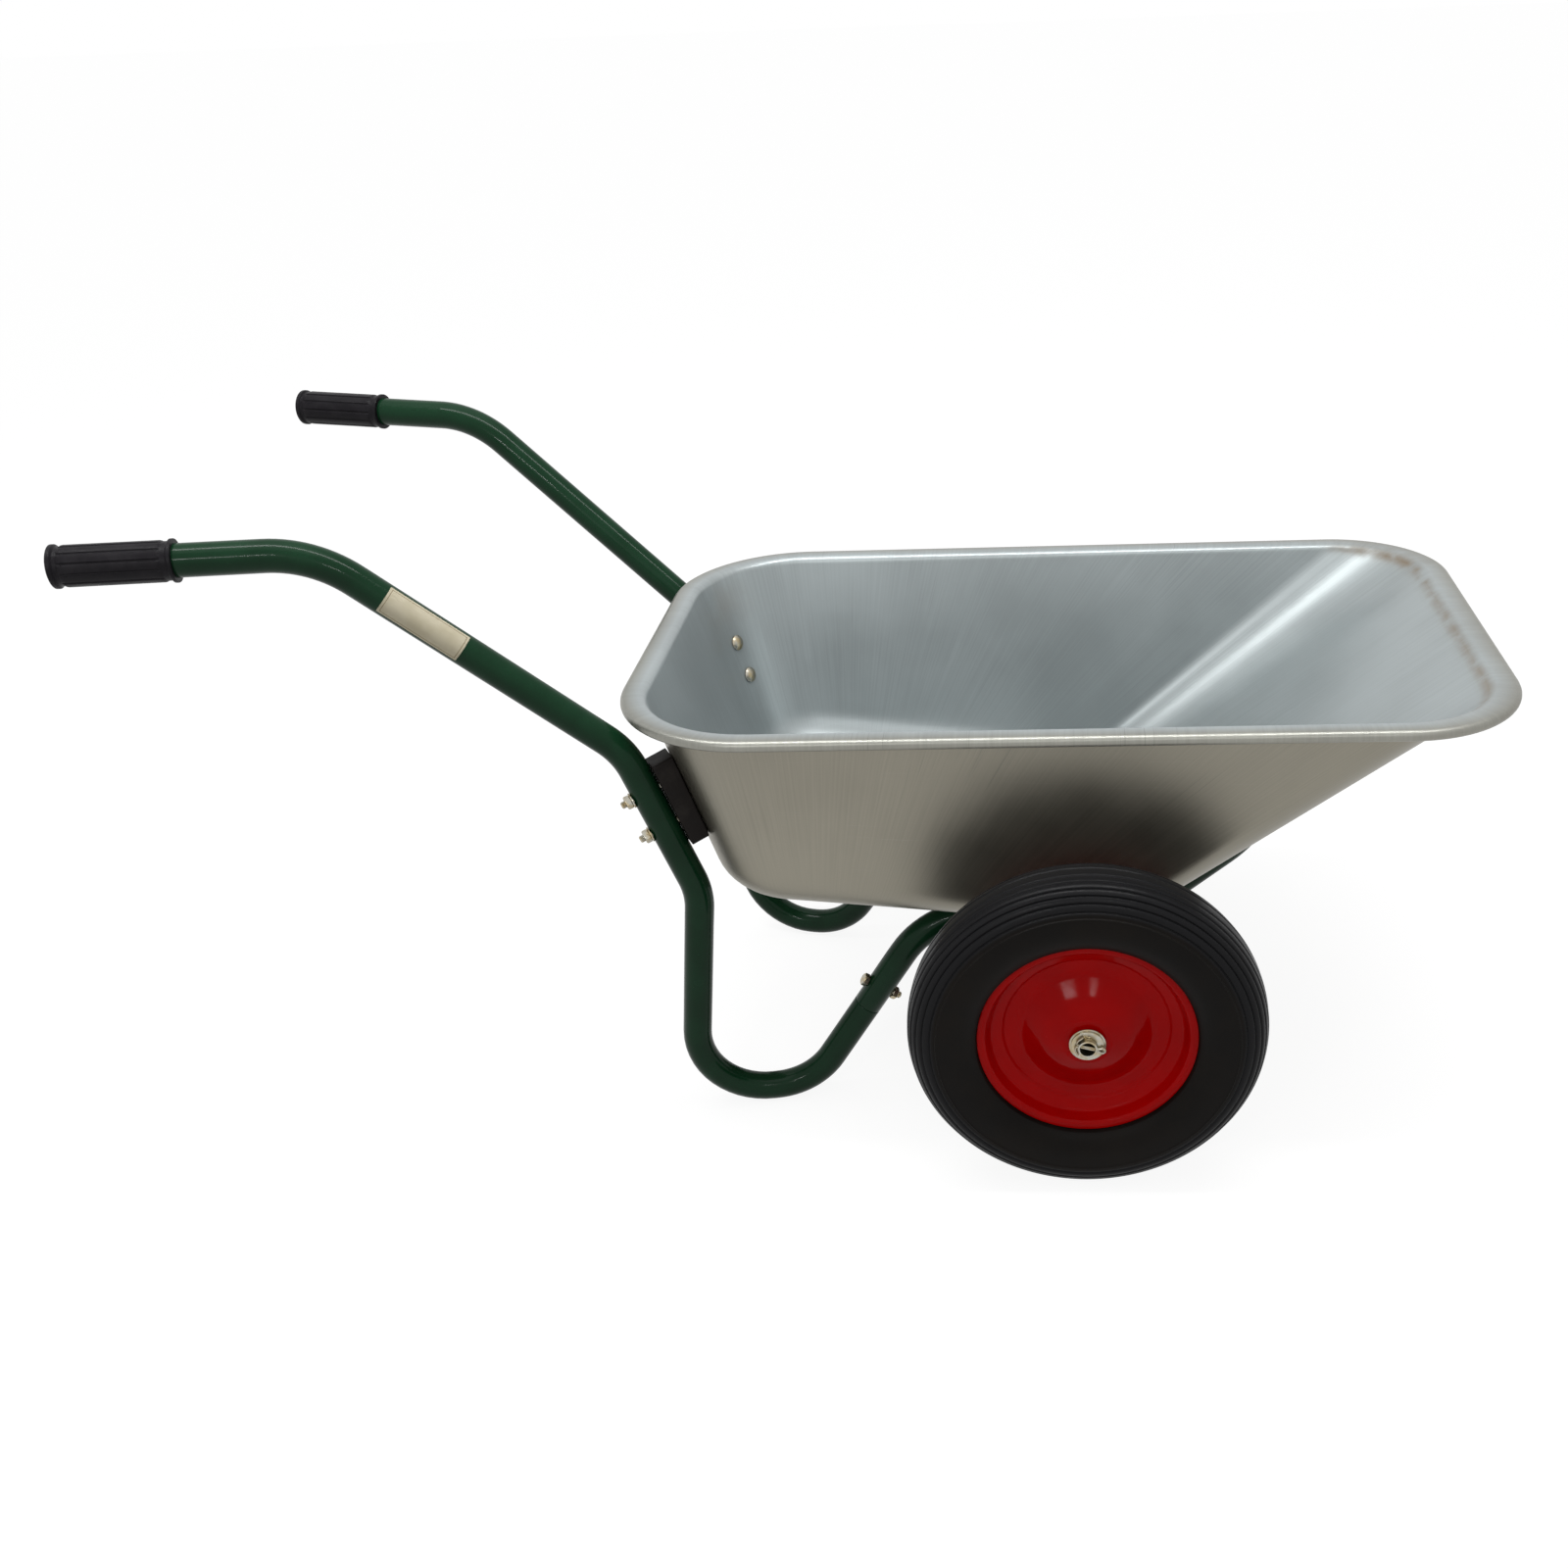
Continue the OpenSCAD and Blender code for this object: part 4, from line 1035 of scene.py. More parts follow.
@dataclass
class Tray:
    """The pressed tray: one closed sheet whose sections are set around two rounded outlines.

    Soil and comb places are distances ahead of the axle, to the left and below the mouth. Bolt shares are
    stretches of a side, or of the wall's height, with a number of closer steps.
    """

    axle: Array
    floor_l: float = 0.438
    floor_w: float = 0.427
    floor_front: float = 0.045
    floor_slope: float = -0.100457
    floor_height: float = 0.236812
    floor_back_r: float = 0.075
    floor_front_r: float = 0.060
    fillet_r: float = 0.055
    depth: float = 0.276
    mouth_l: float = 0.871
    mouth_w: float = 0.527
    mouth_rise: float = 0.005
    back_lean: float = 0.0665
    mouth_back_r: float = 0.124
    mouth_front_r: float = 0.101
    sheet_t: float = 0.001
    flange_w: float = 0.020
    lip_r: float = 0.008
    bead_r: float = 0.006
    dish_depth: float = 0.005
    dish_flat_r: float = 0.0098
    dish_r: float = 0.017
    dish_reach: tuple[float, float] = (0.02, 0.09)
    corner_steps: int = 25
    side_steps: tuple[int, int, int] = (56, 34, 30)
    wall_steps: int = 22
    fillet_steps: int = 10
    lip_steps: int = 7
    bead_steps: int = 19
    floor_bolt_shares: tuple[float, float, int] = (0.16, 0.35, 26)
    nose_bolt_shares: tuple[float, float, int] = (0.03, 0.19, 22)
    wall_bolt_shares: tuple[float, float, int] = (0.03, 0.17, 18)
    wall_rim_shares: tuple[float, float, int] = (0.93, 0.99, 6)
    floor_middle_shares: tuple[float, float, int] = (0.05, 0.66, 9)
    floor_edge_shares: tuple[float, float, int] = (0.70, 1.0, 28)
    # Share of the inside mark, and so of its painted light tint, reached over the bead's top.
    bead_inside: float = 0.35
    crease_deg: float = 60.0
    soil_line: tuple[float, float] = (0.005, 0.004)
    soil_nose: tuple[float, float] = (0.29, 0.06)
    soil_nook: Triple = (0.37, 0.21, 0.004)
    soil_nook_size: Triple = (0.04, 0.06, 0.007)
    soil_back: Triple = (-0.44, 0.19, 0.04)
    soil_back_size: Triple = (0.03, 0.05, 0.03)
    soil_weights: Triple = (0.70, 0.45, 0.25)
    level_band: tuple[float, float] = (0.004, 0.03)
    comb_depth: float = 0.075
    comb_side: tuple[float, float] = (0.21, 0.02)
    comb_middle: float = -0.05
    comb_end: tuple[float, float] = (0.30, 0.05)

    def build(self) -> None:
        """Builds the sheet as one grid from the middle of its underside round the rim to its inside."""
        stations = self.stations()
        angle, share, corner = stations
        floor_back = self.floor_front - self.floor_l
        mouth_back = floor_back - self.back_lean
        floor = RoundedBox(floor_back, self.floor_front, self.floor_w / 2, self.floor_back_r,
                           self.floor_front_r)
        mouth = RoundedBox(mouth_back, mouth_back + self.mouth_l, self.mouth_w / 2, self.mouth_back_r,
                           self.mouth_front_r)
        foot = floor.points(*stations, self.floor_z)
        top = mouth.points(*stations, self.mouth_z)
        out = np.stack([np.cos(angle), np.sin(angle), np.zeros_like(angle)], axis=1)
        up = unit(top - foot)
        inward = unit(-out - np.outer(out[:, 0] * self.floor_slope, UP))
        fillet_r = self.fillet_radii(inward, up, share, corner)
        inner, outer = (self.half_section(foot, top, up, out, inward, fillet_r, depth)
                        for depth in (0.0, self.sheet_t))
        bead = self.bead(top + out * self.flange_w, out)
        grid = np.concatenate([outer, bead, inner[:, ::-1]], axis=1)
        grid = self.dished(grid + self.axle * AHEAD)
        face = outer.shape[1]
        # The inside mark also carries the sheet's painted light: lighter and bluer inside, darker outside,
        # and part way over the bead.
        over = np.linspace(0.0, self.bead_inside, bead.shape[1])
        inside = np.concatenate([np.zeros(face), over, np.ones(face)])
        around = np.linalg.norm(np.diff(np.concatenate([top, top[:1]]), axis=0), axis=1)
        along = np.linalg.norm(np.diff(grid, axis=1), axis=2).mean(axis=0)
        flow = (np.concatenate([[0.0], np.cumsum(around)]), np.concatenate([[0.0], np.cumsum(along)]))
        marks = {"inside": np.tile(inside, (len(grid), 1)), "soil": self.soil(grid, inside),
                 "comb": self.combed(grid), "floor": self.level(grid)}
        piece = Piece("pressed_tray", Slot.SHEET, "frame", ("tray",), self.crease_deg)
        piece.make([grid_patch(grid, flow=flow)], SHEET, marks)

    def stations(self) -> tuple[Array, Array, Array]:
        """Places around the tray: the outward angle, the share of the way to the next corner, and the corner.

        Stations lie closer together beside the sunk bolts.

        Returns:
            The angles, shares and corner numbers.
        """
        quarter = np.pi / 2
        arc = np.linspace(0.0, 1.0, self.corner_steps)
        floor_bolts = np.linspace(*self.floor_bolt_shares)
        nose_bolts = np.linspace(*self.nose_bolt_shares)
        long_side, back, nose = (np.linspace(0, 1, steps)[1:-1] for steps in self.side_steps)
        sides = (np.union1d(long_side, floor_bolts), back, np.union1d(long_side, 1 - floor_bolts),
                 np.union1d(nose, np.concatenate([nose_bolts, 1 - nose_bolts])))
        angle, share, corner = [], [], []
        for i, side in enumerate(sides):
            angle += [quarter * (i + arc), np.full(len(side), quarter * (i + 1))]
            share += [arc * 0, side]
            corner.append(np.full(len(arc) + len(side), i))
        return np.concatenate(angle), np.concatenate(share), np.concatenate(corner)

    def wall_rows(self) -> Array:
        """Shares of the way up the straight wall, closer together by the nose bolts and under the rim."""
        near = [np.linspace(*shares) for shares in (self.wall_bolt_shares, self.wall_rim_shares)]
        return np.union1d(np.linspace(0, 1, self.wall_steps)[1:-1], np.concatenate(near))

    def floor_z(self, x: Array) -> Array:
        """Height of the floor's inside."""
        return self.floor_height + self.floor_slope * x

    def mouth_z(self, x: Array) -> Array:
        """Height of the mouth."""
        slope = self.mouth_rise / self.mouth_l
        return self.floor_z(self.floor_front) + self.depth + (x - self.floor_front) * slope

    @staticmethod
    def corner_arc(p: Array, r: Array, arc_r: Array, a: Array, b: Array, steps: int) -> Array:
        """Arcs about the middles of rounded corners, turned evenly from leg a to leg b.

        The middle lies on the legs' bisector at r / sin(half the angle between them).

        Args:
            p: Sharp corners.
            r: Radii that fit the legs.
            arc_r: Radii of the arcs about the same middles.
            a: Directions of the first legs.
            b: Directions of the second legs.
            steps: Number of steps in each arc.

        Returns:
            The points, (stations, steps + 1, 3).
        """
        half = np.arccos(np.clip(dot(a, b), -1.0, 1.0)) / 2
        middle = p + unit(a + b) * r / np.sin(half)
        start = unit(p + a * r / np.tan(half) - middle)
        stop = unit(p + b * r / np.tan(half) - middle)
        sweep = np.arccos(np.clip(dot(start, stop), -1.0, 1.0))[:, None]
        f = np.linspace(0.0, 1.0, steps + 1)[None, :, None]
        turned = np.sin((1 - f) * sweep) * start[:, None] + np.sin(f * sweep) * stop[:, None]
        return middle[:, None] + np.reshape(arc_r, (-1, 1, 1)) * (turned / np.sin(sweep))

    def fillet_radii(self, inward: Array, up: Array, share: Array, corner: Array) -> Array:
        """Radii of the fillet between floor and wall.

        Along the walls the radius is even. Round each corner the fillet's legs grow by a smooth step from one
        wall's to the next, so that the fillet has no crease. The radius there is the leg times the tangent
        of half the angle between floor and wall.

        Args:
            inward: Directions along the floor to its middle.
            up: Directions up the wall.
            share: Share of the way to the next corner.
            corner: Number of the corner before each station.

        Returns:
            The radii, (stations, 1).
        """
        half = np.arccos(np.clip(dot(inward, up), -1.0, 1.0)) / 2
        leg = self.fillet_r / np.tan(half)
        for i in np.unique(corner):
            arc = np.flatnonzero((corner == i) & (share == 0))
            start, stop = leg[arc[0]], leg[arc[-1]]
            leg[arc] = start + (stop - start) * eased(np.linspace(0.0, 1.0, len(arc)))[:, None]
        return leg * np.tan(half)

    def half_section(self, foot: Array, top: Array, up: Array, out: Array, inward: Array, fillet_r: Array,
                     depth: float) -> Array:
        """One face of the sheet at every station, from the middle of the floor to the flange's bend.

        Args:
            foot: Sharp corners between floor and wall.
            top: Sharp corners between wall and flange.
            up: Directions up the wall.
            out: Outward directions.
            inward: Directions along the floor to its middle.
            fillet_r: Radii of the fillet between floor and wall.
            depth: Distance of this face behind the inside.

        Returns:
            The points, (stations, rows, 3).
        """
        fillet = self.corner_arc(foot, fillet_r, fillet_r + depth, inward, up, self.fillet_steps)
        lip_r = np.array(self.lip_r + self.sheet_t)
        lip = self.corner_arc(top, lip_r, lip_r - depth, -up, out, self.lip_steps)
        wall = fillet[:, -1:] + (lip[:, :1] - fillet[:, -1:]) * self.wall_rows()[None, :, None]
        edge = fillet[:, :1]
        middle = edge.mean(axis=0, keepdims=True)
        near, far = np.linspace(*self.floor_middle_shares), np.linspace(*self.floor_edge_shares)[:-1]
        floor = middle + (edge - middle) * np.concatenate([near, far])[None, :, None]
        return np.concatenate([floor, fillet, wall, lip], axis=1)

    def bead(self, edge: Array, out: Array) -> Array:
        """The rolled bead: an arc about a middle under the flange's edge, from its underside to its top.

        Args:
            edge: Points of the flange's edge.
            out: Outward directions.

        Returns:
            The points, (stations, steps, 3).
        """
        close = np.pi + np.arcsin(1 - self.sheet_t / self.bead_r)
        angle = np.linspace(-close, np.pi / 2, self.bead_steps)[None, :, None]
        middle = (edge - UP * self.bead_r)[:, None]
        return middle + self.bead_r * (np.cos(angle) * out[:, None] + np.sin(angle) * UP)

    def dished(self, grid: Array) -> Array:
        """Sinks the sheet round each tray bolt: depth times a smooth step of the distance from the bolt.

        Args:
            grid: Points of the sheet.

        Returns:
            The points with the dishes pressed in.
        """
        low, high = self.dish_reach
        for points in solids("tray_nuts"):
            middle, axis = disc_axis(points)
            axis = axis * np.sign(axis[2])
            offset = grid - middle
            rise = dot(offset, axis)
            away = np.linalg.norm(offset - rise * axis, axis=-1, keepdims=True)
            near = (rise > low) & (rise < high)
            sunk = eased((self.dish_r - away) / (self.dish_r - self.dish_flat_r)) * near
            grid = grid - sunk * self.dish_depth * axis
        return grid

    def from_mouth(self, grid: Array) -> Array:
        """Distances of points ahead of the axle, to the left and below the mouth, (..., 3)."""
        x = grid[..., 0] - self.axle[0]
        return np.stack([x, grid[..., 1], self.mouth_z(x) - grid[..., 2]], axis=-1)

    def soil(self, grid: Array, inside: Array) -> Array:
        """Where soil is rubbed in: along the nose's rim, more in its far corner, and in specks at the back.

        Each place is a bell of the distance from it, and the line ends by a smooth step.

        Args:
            grid: Points of the sheet.
            inside: 1 on the sheet's inside and 0 on its outside.

        Returns:
            The share of soil at each point.
        """
        place = self.from_mouth(grid)
        below, width = self.soil_line
        start, run = self.soil_nose
        line = bell(place[..., 2:] - below, width) * eased((place[..., 0] - start) / run)
        nook = bell(place - self.soil_nook, self.soil_nook_size)
        back = bell(place - self.soil_back, self.soil_back_size)
        return np.clip(np.tensordot(self.soil_weights, [line, nook, back], 1), 0, 1) * inside

    def level(self, grid: Array) -> Array:
        """Where the sheet lies level: a smooth step of the height above the floor, from 1 down to 0.

        Args:
            grid: Points of the sheet.

        Returns:
            The mark at each point.
        """
        above = grid[..., 2] - self.floor_z(grid[..., 0] - self.axle[0])
        start, run = self.level_band
        return 1 - eased((above - start) / run)

    def combed(self, grid: Array) -> Array:
        """Where the press has left comb marks: near the top of the two long walls, as a bell of the depth.

        Args:
            grid: Points of the sheet.

        Returns:
            The mark at each point.
        """
        place = self.from_mouth(grid)
        side, side_run = self.comb_side
        end, end_run = self.comb_end
        on_side = eased((np.abs(place[..., 1]) - side) / side_run)
        on_length = eased((end - np.abs(place[..., 0] - self.comb_middle)) / end_run)
        return bell(place[..., 2:], self.comb_depth) * on_side * on_length


@dataclass
class SpacerBlocks:
    """Moulded blocks between the handle tubes and the tray's back corners."""

    lines: FrameLines
    width: float = 0.034
    length: float = 0.100
    run: float = 0.074
    turn: float = np.radians(17)
    gap: float = 0.0002
    corner_r: float = 0.003
    edge_r: float = 0.0012
    corner_points: int = 7
    edge_points: int = 5

    def axes(self) -> tuple[Array, Array, Array, Array]:
        """The left block's middle on the tube, and its directions across, along and through."""
        knee = self.lines.in_plane(*self.lines.knee)
        bend = self.lines.in_plane(*self.lines.block_bend)
        along = unit(knee - bend)
        side = self.lines.plane_side()
        square = np.cross(along, side) * np.sign(np.cross(along, side)[0])
        through = np.cos(self.turn) * square - np.sin(self.turn) * side
        return bend + along * self.run, np.cross(along, through), along, through

    def build(self) -> None:
        """A rounded rectangle carried through the block, with rounded edges, cut by the tray's own plane."""
        origin, across, along, through = self.axes()
        cad = solids("spacer_block_left")[0] - origin
        near = self.lines.tube_r + self.gap
        local = np.stack([cad @ across, cad @ along, cad @ through], axis=1)
        far = local[local[:, 2] > near + self.edge_r]
        flat = np.concatenate([far[:, :2], np.ones((len(far), 1))], axis=1)
        plane = np.linalg.lstsq(flat, far[:, 2], rcond=None)[0]
        steps = np.linspace(0.0, 1.0, self.edge_points) * np.pi / 2
        inset = self.edge_r * np.concatenate([1 - np.sin(steps), 1 - np.cos(steps)])
        depth = self.edge_r * np.concatenate([1 - np.cos(steps), np.sin(steps) - 1])
        rings = []
        for k, (cut, shift) in enumerate(zip(inset, depth)):
            outline = self.outline(cut)
            level = np.full(len(outline), near) if k < len(steps) else outline @ plane[:2] + plane[2]
            rings.append(np.column_stack([outline, level + shift]))
        block = np.stack(rings, axis=1)
        grid = origin + block[..., :1] * across + block[..., 1:2] * along + block[..., 2:] * through
        for side in Side:
            piece = frame_piece(f"{side.word}_moulded_block", Slot.BLOCK, f"spacer_block_{side.word}")
            piece.make([grid_patch(mirrored(grid, side))], BLOCK)

    def outline(self, inset: float) -> Array:
        """A rounded rectangle: arcs about four corner middles.

        Args:
            inset: Distance inside the full outline.

        Returns:
            The outline, (points, 2).
        """
        quarter = np.pi / 2
        middle = np.array([self.width, self.length]) / 2 - self.corner_r
        angle = np.linspace(0.0, quarter, self.corner_points)
        arcs = []
        for k, sign in enumerate(BOX_CORNERS):
            turned = np.stack([np.cos(angle + k * quarter), np.sin(angle + k * quarter)], axis=1)
            arcs.append(middle * sign + (self.corner_r - inset) * turned)
        return np.concatenate(arcs)


class Head(Enum):
    """Kinds of bolt head."""

    DOME = "dome"
    HEXAGON = "hexagon"


@dataclass
class Fasteners:
    """Bolts, nuts and washers of the frame, placed by the construction's own nuts."""

    bolt_r: float = 0.004
    tip_cut: float = 0.0009
    tip_l: float = 0.0011
    head_sink: float = 0.0004
    hex_w: float = 0.013
    hex_h: float = 0.0065
    hex_face_share: float = 0.95
    hex_cut: float = 0.0011
    hex_cut_rises: tuple[float, float] = (0.0007, 0.0012)
    hex_clear_r: float = 1.0
    dome_d: float = 0.019
    dome_h: float = 0.004
    dome_edge: float = 0.0005
    dome_rows: int = 14
    dome_end: float = 0.06
    pitch: float = 0.00125
    pitch_steps: int = 6
    thread_l: float = 0.013
    thread_depth: float = 0.0006
    washer_d: float = 0.017
    washer_t: float = 0.0016
    bore_r: float = 0.0043
    line_slack: float = 0.004
    sides: int = 48

    def build(self) -> None:
        """Builds every group of bolts with its nuts and washers."""
        heads = {"back": Head.DOME, "splice": Head.HEXAGON, "tray": Head.DOME, "bracket": Head.HEXAGON}
        for name, head in heads.items():
            self.group(name, head)

    def group(self, name: str, head: Head) -> None:
        """The bolts, nuts and washers of one joint.

        Args:
            name: First word of the group's nodes.
            head: Kind of head on its bolts.
        """
        bolts, nuts = [], []
        for middle, axis in map(disc_axis, solids(f"{name}_nuts")):
            reach = [(p - middle) @ axis for p in solids(f"{name}_bolts") if self.on_line(p, middle, axis)]
            low, high = reach[0].min(), reach[0].max()
            if high < -low:
                axis, low, high = -axis, -high, -low
            bolts += self.bolt(middle, axis, low, high, head)
            nuts.append(self.hexagon(middle - axis * self.hex_h / 2, axis, self.bolt_r))
        frame_piece(f"{name}_bolt_set", Slot.ZINC, f"{name}_bolts").make(bolts, ZINC)
        frame_piece(f"{name}_nut_set", Slot.ZINC, f"{name}_nuts").make(nuts, ZINC)
        node = f"{name}_washers"
        if node in frame["nodes"]:
            sizes = (self.washer_d / 2, self.bore_r, self.washer_t)
            rings = [self.ring(*disc_axis(points), *sizes) for points in solids(node)]
            frame_piece(f"{name}_washer_set", Slot.ZINC, node).make(rings, ZINC)

    def on_line(self, points: Array, middle: Array, axis: Array) -> bool:
        """True if a solid's middle lies on the line of a nut."""
        offset = points.mean(axis=0) - middle
        return np.linalg.norm(offset - (offset @ axis) * axis) < self.line_slack

    def bolt(self, nut: Array, axis: Array, low: float, high: float, head: Head) -> list[Patch]:
        """A shank with a cut thread at its free end, and its head.

        The thread's radius is bolt_r - depth * tooth(s / pitch - angle / turn), with a triangular tooth that
        fades at both ends of the thread.

        Args:
            nut: Middle of the nut.
            axis: Direction from the nut to the head.
            low: Free end of the bolt along the axis.
            high: Top of the head along the axis.
            head: Kind of head.

        Returns:
            The closed surfaces of the bolt.
        """
        seat = high - (self.dome_h if head is Head.DOME else self.hex_h)
        angle, ring = ring_about(axis, self.sides)
        s = np.arange(0.0, self.thread_l, self.pitch / self.pitch_steps)
        tooth = np.abs(((s[None, :] / self.pitch - angle[:, None] / TURN) % 1) - 0.5) * 2
        cut = eased((self.thread_l - s) / self.pitch / 2)
        radius = self.bolt_r - self.thread_depth * tooth * cut - self.tip_cut * eased(1 - s / self.tip_l)
        radius = np.concatenate([radius[:, :1] / 2, radius, np.full((self.sides, 1), self.bolt_r)], axis=1)
        run = low + np.concatenate([[0.0], s, [seat - low + self.head_sink]])
        top = self.dome if head is Head.DOME else self.hexagon
        return [grid_patch(spun(radius, run, ring, nut, axis)), top(nut + axis * seat, axis)]

    def dome(self, seat: Array, axis: Array) -> Patch:
        """A round head: a shallow spherical cap above a thin upright edge.

        Args:
            seat: Middle of the lower face.
            axis: Direction of the height.

        Returns:
            The closed surface.
        """
        edge = self.dome_edge
        sphere_r = (self.dome_d ** 2 / 4 + self.dome_h ** 2) / (2 * self.dome_h)
        r = self.dome_d / 2 * np.sin(np.linspace(np.pi / 2, self.dome_end, self.dome_rows))
        h = np.maximum(np.sqrt(sphere_r ** 2 - r ** 2) - (sphere_r - self.dome_h), edge)
        profile = np.stack([np.concatenate([[r[0] / 2, r[0] - edge / 2, r[0]], r]),
                            np.concatenate([[0.0, 0.0, edge / 2], h])], axis=1)
        return grid_patch(lathe(profile, seat, axis, self.sides))

    def hexagon(self, seat: Array, axis: Array, bore: float = 0.0) -> Patch:
        """A chamfered hexagon: at each level the smaller of the flat-sided radius and a cone's radius.

        Args:
            seat: Middle of the lower face.
            axis: Direction of the height.
            bore: Radius of the hole, or zero for none.

        Returns:
            The closed surface.
        """
        angle, ring = ring_about(axis, self.sides)
        sector = TURN / 6
        flats = self.hex_w / 2 / np.cos((angle + sector / 2) % sector - sector / 2)
        face = self.hex_w / 2 * self.hex_face_share
        cone = np.array([face, face + self.hex_cut, self.hex_clear_r])
        rise = np.array([0.0, *self.hex_cut_rises])
        inner = np.full((self.sides, 1), max(bore, self.hex_w / 8))
        outer = np.minimum(flats[:, None], np.concatenate([cone, cone[::-1]]))
        radius = np.concatenate([inner, outer, inner], axis=1)
        level = np.concatenate([[0.0], rise, self.hex_h - rise[::-1], [self.hex_h]])
        return grid_patch(spun(radius, level, ring, seat, axis), closed=bore > 0)

    def ring(self, middle: Array, axis: Array, outer: float, inner: float, height: float) -> Patch:
        """A washer with eased edges, as a closed outline turned about its axis."""
        profile = eased_ring(inner, outer, height / 2, height / 6)
        return grid_patch(lathe(profile, middle, axis, self.sides * 2), closed=True)


@dataclass
class AxleSet:
    """The hollow axle, what is threaded on it and the brackets that hold it under the rails.

    The split pin's wire, eye and legs are shares of its diameter and of its reach from the axle's middle.
    """

    axle: Array
    lines: FrameLines
    fasteners: Fasteners
    radius: float = 0.010
    wall: float = 0.002
    edge: float = 0.0005
    edge_share: float = 0.3
    sides: int = 64
    spacer_r: float = 0.013
    wide_r: float = 0.019
    narrow_r: float = 0.017
    washer_t: float = 0.002
    pin_d: float = 0.0036
    pin_turn: float = np.radians(14)
    pin_wire_share: float = 0.3
    pin_flat: float = 1.7
    pin_eye_share: float = 1.05
    pin_eye_l_share: float = 2.4
    pin_leg_share: float = 0.45
    pin_tip_shares: tuple[float, float] = (0.62, 0.95)
    pin_bends: tuple[float, ...] = (0.0, 0.006, 0.002, 0.004, 0.003)
    pin_eye_bend: float = 0.0032
    pin_steps: int = 6
    pin_sides: int = 12
    plate_t: float = 0.004
    plate_gap: float = 0.0002
    plate_points: int = 96
    foot_r: float = 0.020
    ear_r: float = 0.013

    def build(self) -> None:
        """Builds the axle, spacers, washers, split pins and brackets."""
        low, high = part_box("axle")
        profile = eased_ring(self.radius - self.wall, self.radius, (high.y - low.y) / 2, self.edge)
        tube = grid_patch(lathe(profile, self.axle, ACROSS, self.sides), closed=True)
        frame_piece("hollow_axle", Slot.ZINC, "axle").make([tube], ZINC)
        for side in Side:
            self.spacer(side)
            self.bracket(side)
        for word, radius in (("inner", self.wide_r), ("wide", self.wide_r), ("narrow", self.narrow_r)):
            node = f"{word}_axle_washers"
            sizes = (radius, self.radius, self.washer_t)
            rings = [self.fasteners.ring(*disc_axis(points), *sizes) for points in solids(node)]
            frame_piece(f"{word}_axle_washer_pair", Slot.ZINC, node).make(rings, ZINC)
        self.pins()

    def spacer(self, side: Side) -> None:
        """A sleeve between bracket and wheel.

        Args:
            side: Side of the sleeve.
        """
        node = f"axle_spacer_{side.word}"
        low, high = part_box(node)
        middle = np.array([self.axle[0], (low.y + high.y) / 2, self.axle[2]])
        sleeve = self.fasteners.ring(middle, ACROSS, self.spacer_r, self.radius, high.y - low.y)
        frame_piece(f"{side.word}_axle_sleeve", Slot.ZINC, node).make([sleeve], ZINC)

    def bracket(self, side: Side) -> None:
        """Two plates and the strap under the axle.

        A plate's outline is the hull of three circles: at each angle, the circle that reaches furthest along
        that direction gives the point. The outline is carried through the plate with eased edges.

        Args:
            side: Side of the bracket.
        """
        turn = self.lines.rail_toe
        along = np.array([np.cos(turn), -np.sin(turn), 0.0])
        square = np.array([np.sin(turn), np.cos(turn), 0.0])
        origin = self.lines.rail_point(0.0) * (AHEAD + ACROSS)
        ears = [disc_axis(p)[0] - origin for p in solids("bracket_nuts") if p[:, 1].mean() > 0]
        middles = np.array([[0.0, self.axle[2]]] + [[ear @ along, ear[2]] for ear in ears])
        radii = np.array([self.foot_r] + [self.ear_r] * len(ears))
        ray = circle(self.plate_points)
        pick = np.argmax(ray @ middles.T + radii, axis=1)
        outline = middles[pick] + radii[pick, None] * ray
        half = self.lines.tube_r + self.plate_gap + self.plate_t
        patches = [self.plate(outline, ray, origin, along, square, y) for y in (-half, half - self.plate_t)]
        strap = BOX_CORNERS * np.array([self.foot_r / 2, half])
        levels = np.array([0.0, self.plate_t]) + self.axle[2] - self.foot_r
        grid = origin + strap[:, None, :1] * along + strap[:, None, 1:] * square + levels[None, :, None] * UP
        patches = [patch.moved(side) for patch in (*patches, grid_patch(grid))]
        frame_piece(f"{side.word}_axle_strap", Slot.GREEN, f"axle_bracket_{side.word}").make(patches, GREEN)

    def plate(self, outline: Array, ray: Array, origin: Array, along: Array, square: Array,
              y: float) -> Patch:
        """One plate of a bracket: its outline carried through it and drawn in at both faces.

        Args:
            outline: Points of the outline, along and up, (n, 2).
            ray: Outward directions at those points.
            origin: Place under the rail, on the ground.
            along: Direction of the rail.
            square: Direction through the plate.
            y: Place of the near face along that direction.

        Returns:
            The closed surface.
        """
        inset = np.array([1.0, self.edge_share, 0.0]) * self.edge
        rise = np.array([0.0, self.edge_share, 1.0]) * self.edge
        inset = np.concatenate([inset, inset[::-1]])
        level = np.concatenate([rise, self.plate_t - rise[::-1]]) + y
        flat = outline[:, None, :] - inset[None, :, None] * ray[:, None, :]
        return grid_patch(origin + flat[..., :1] * along + flat[..., 1:] * UP + level[None, :, None] * square)

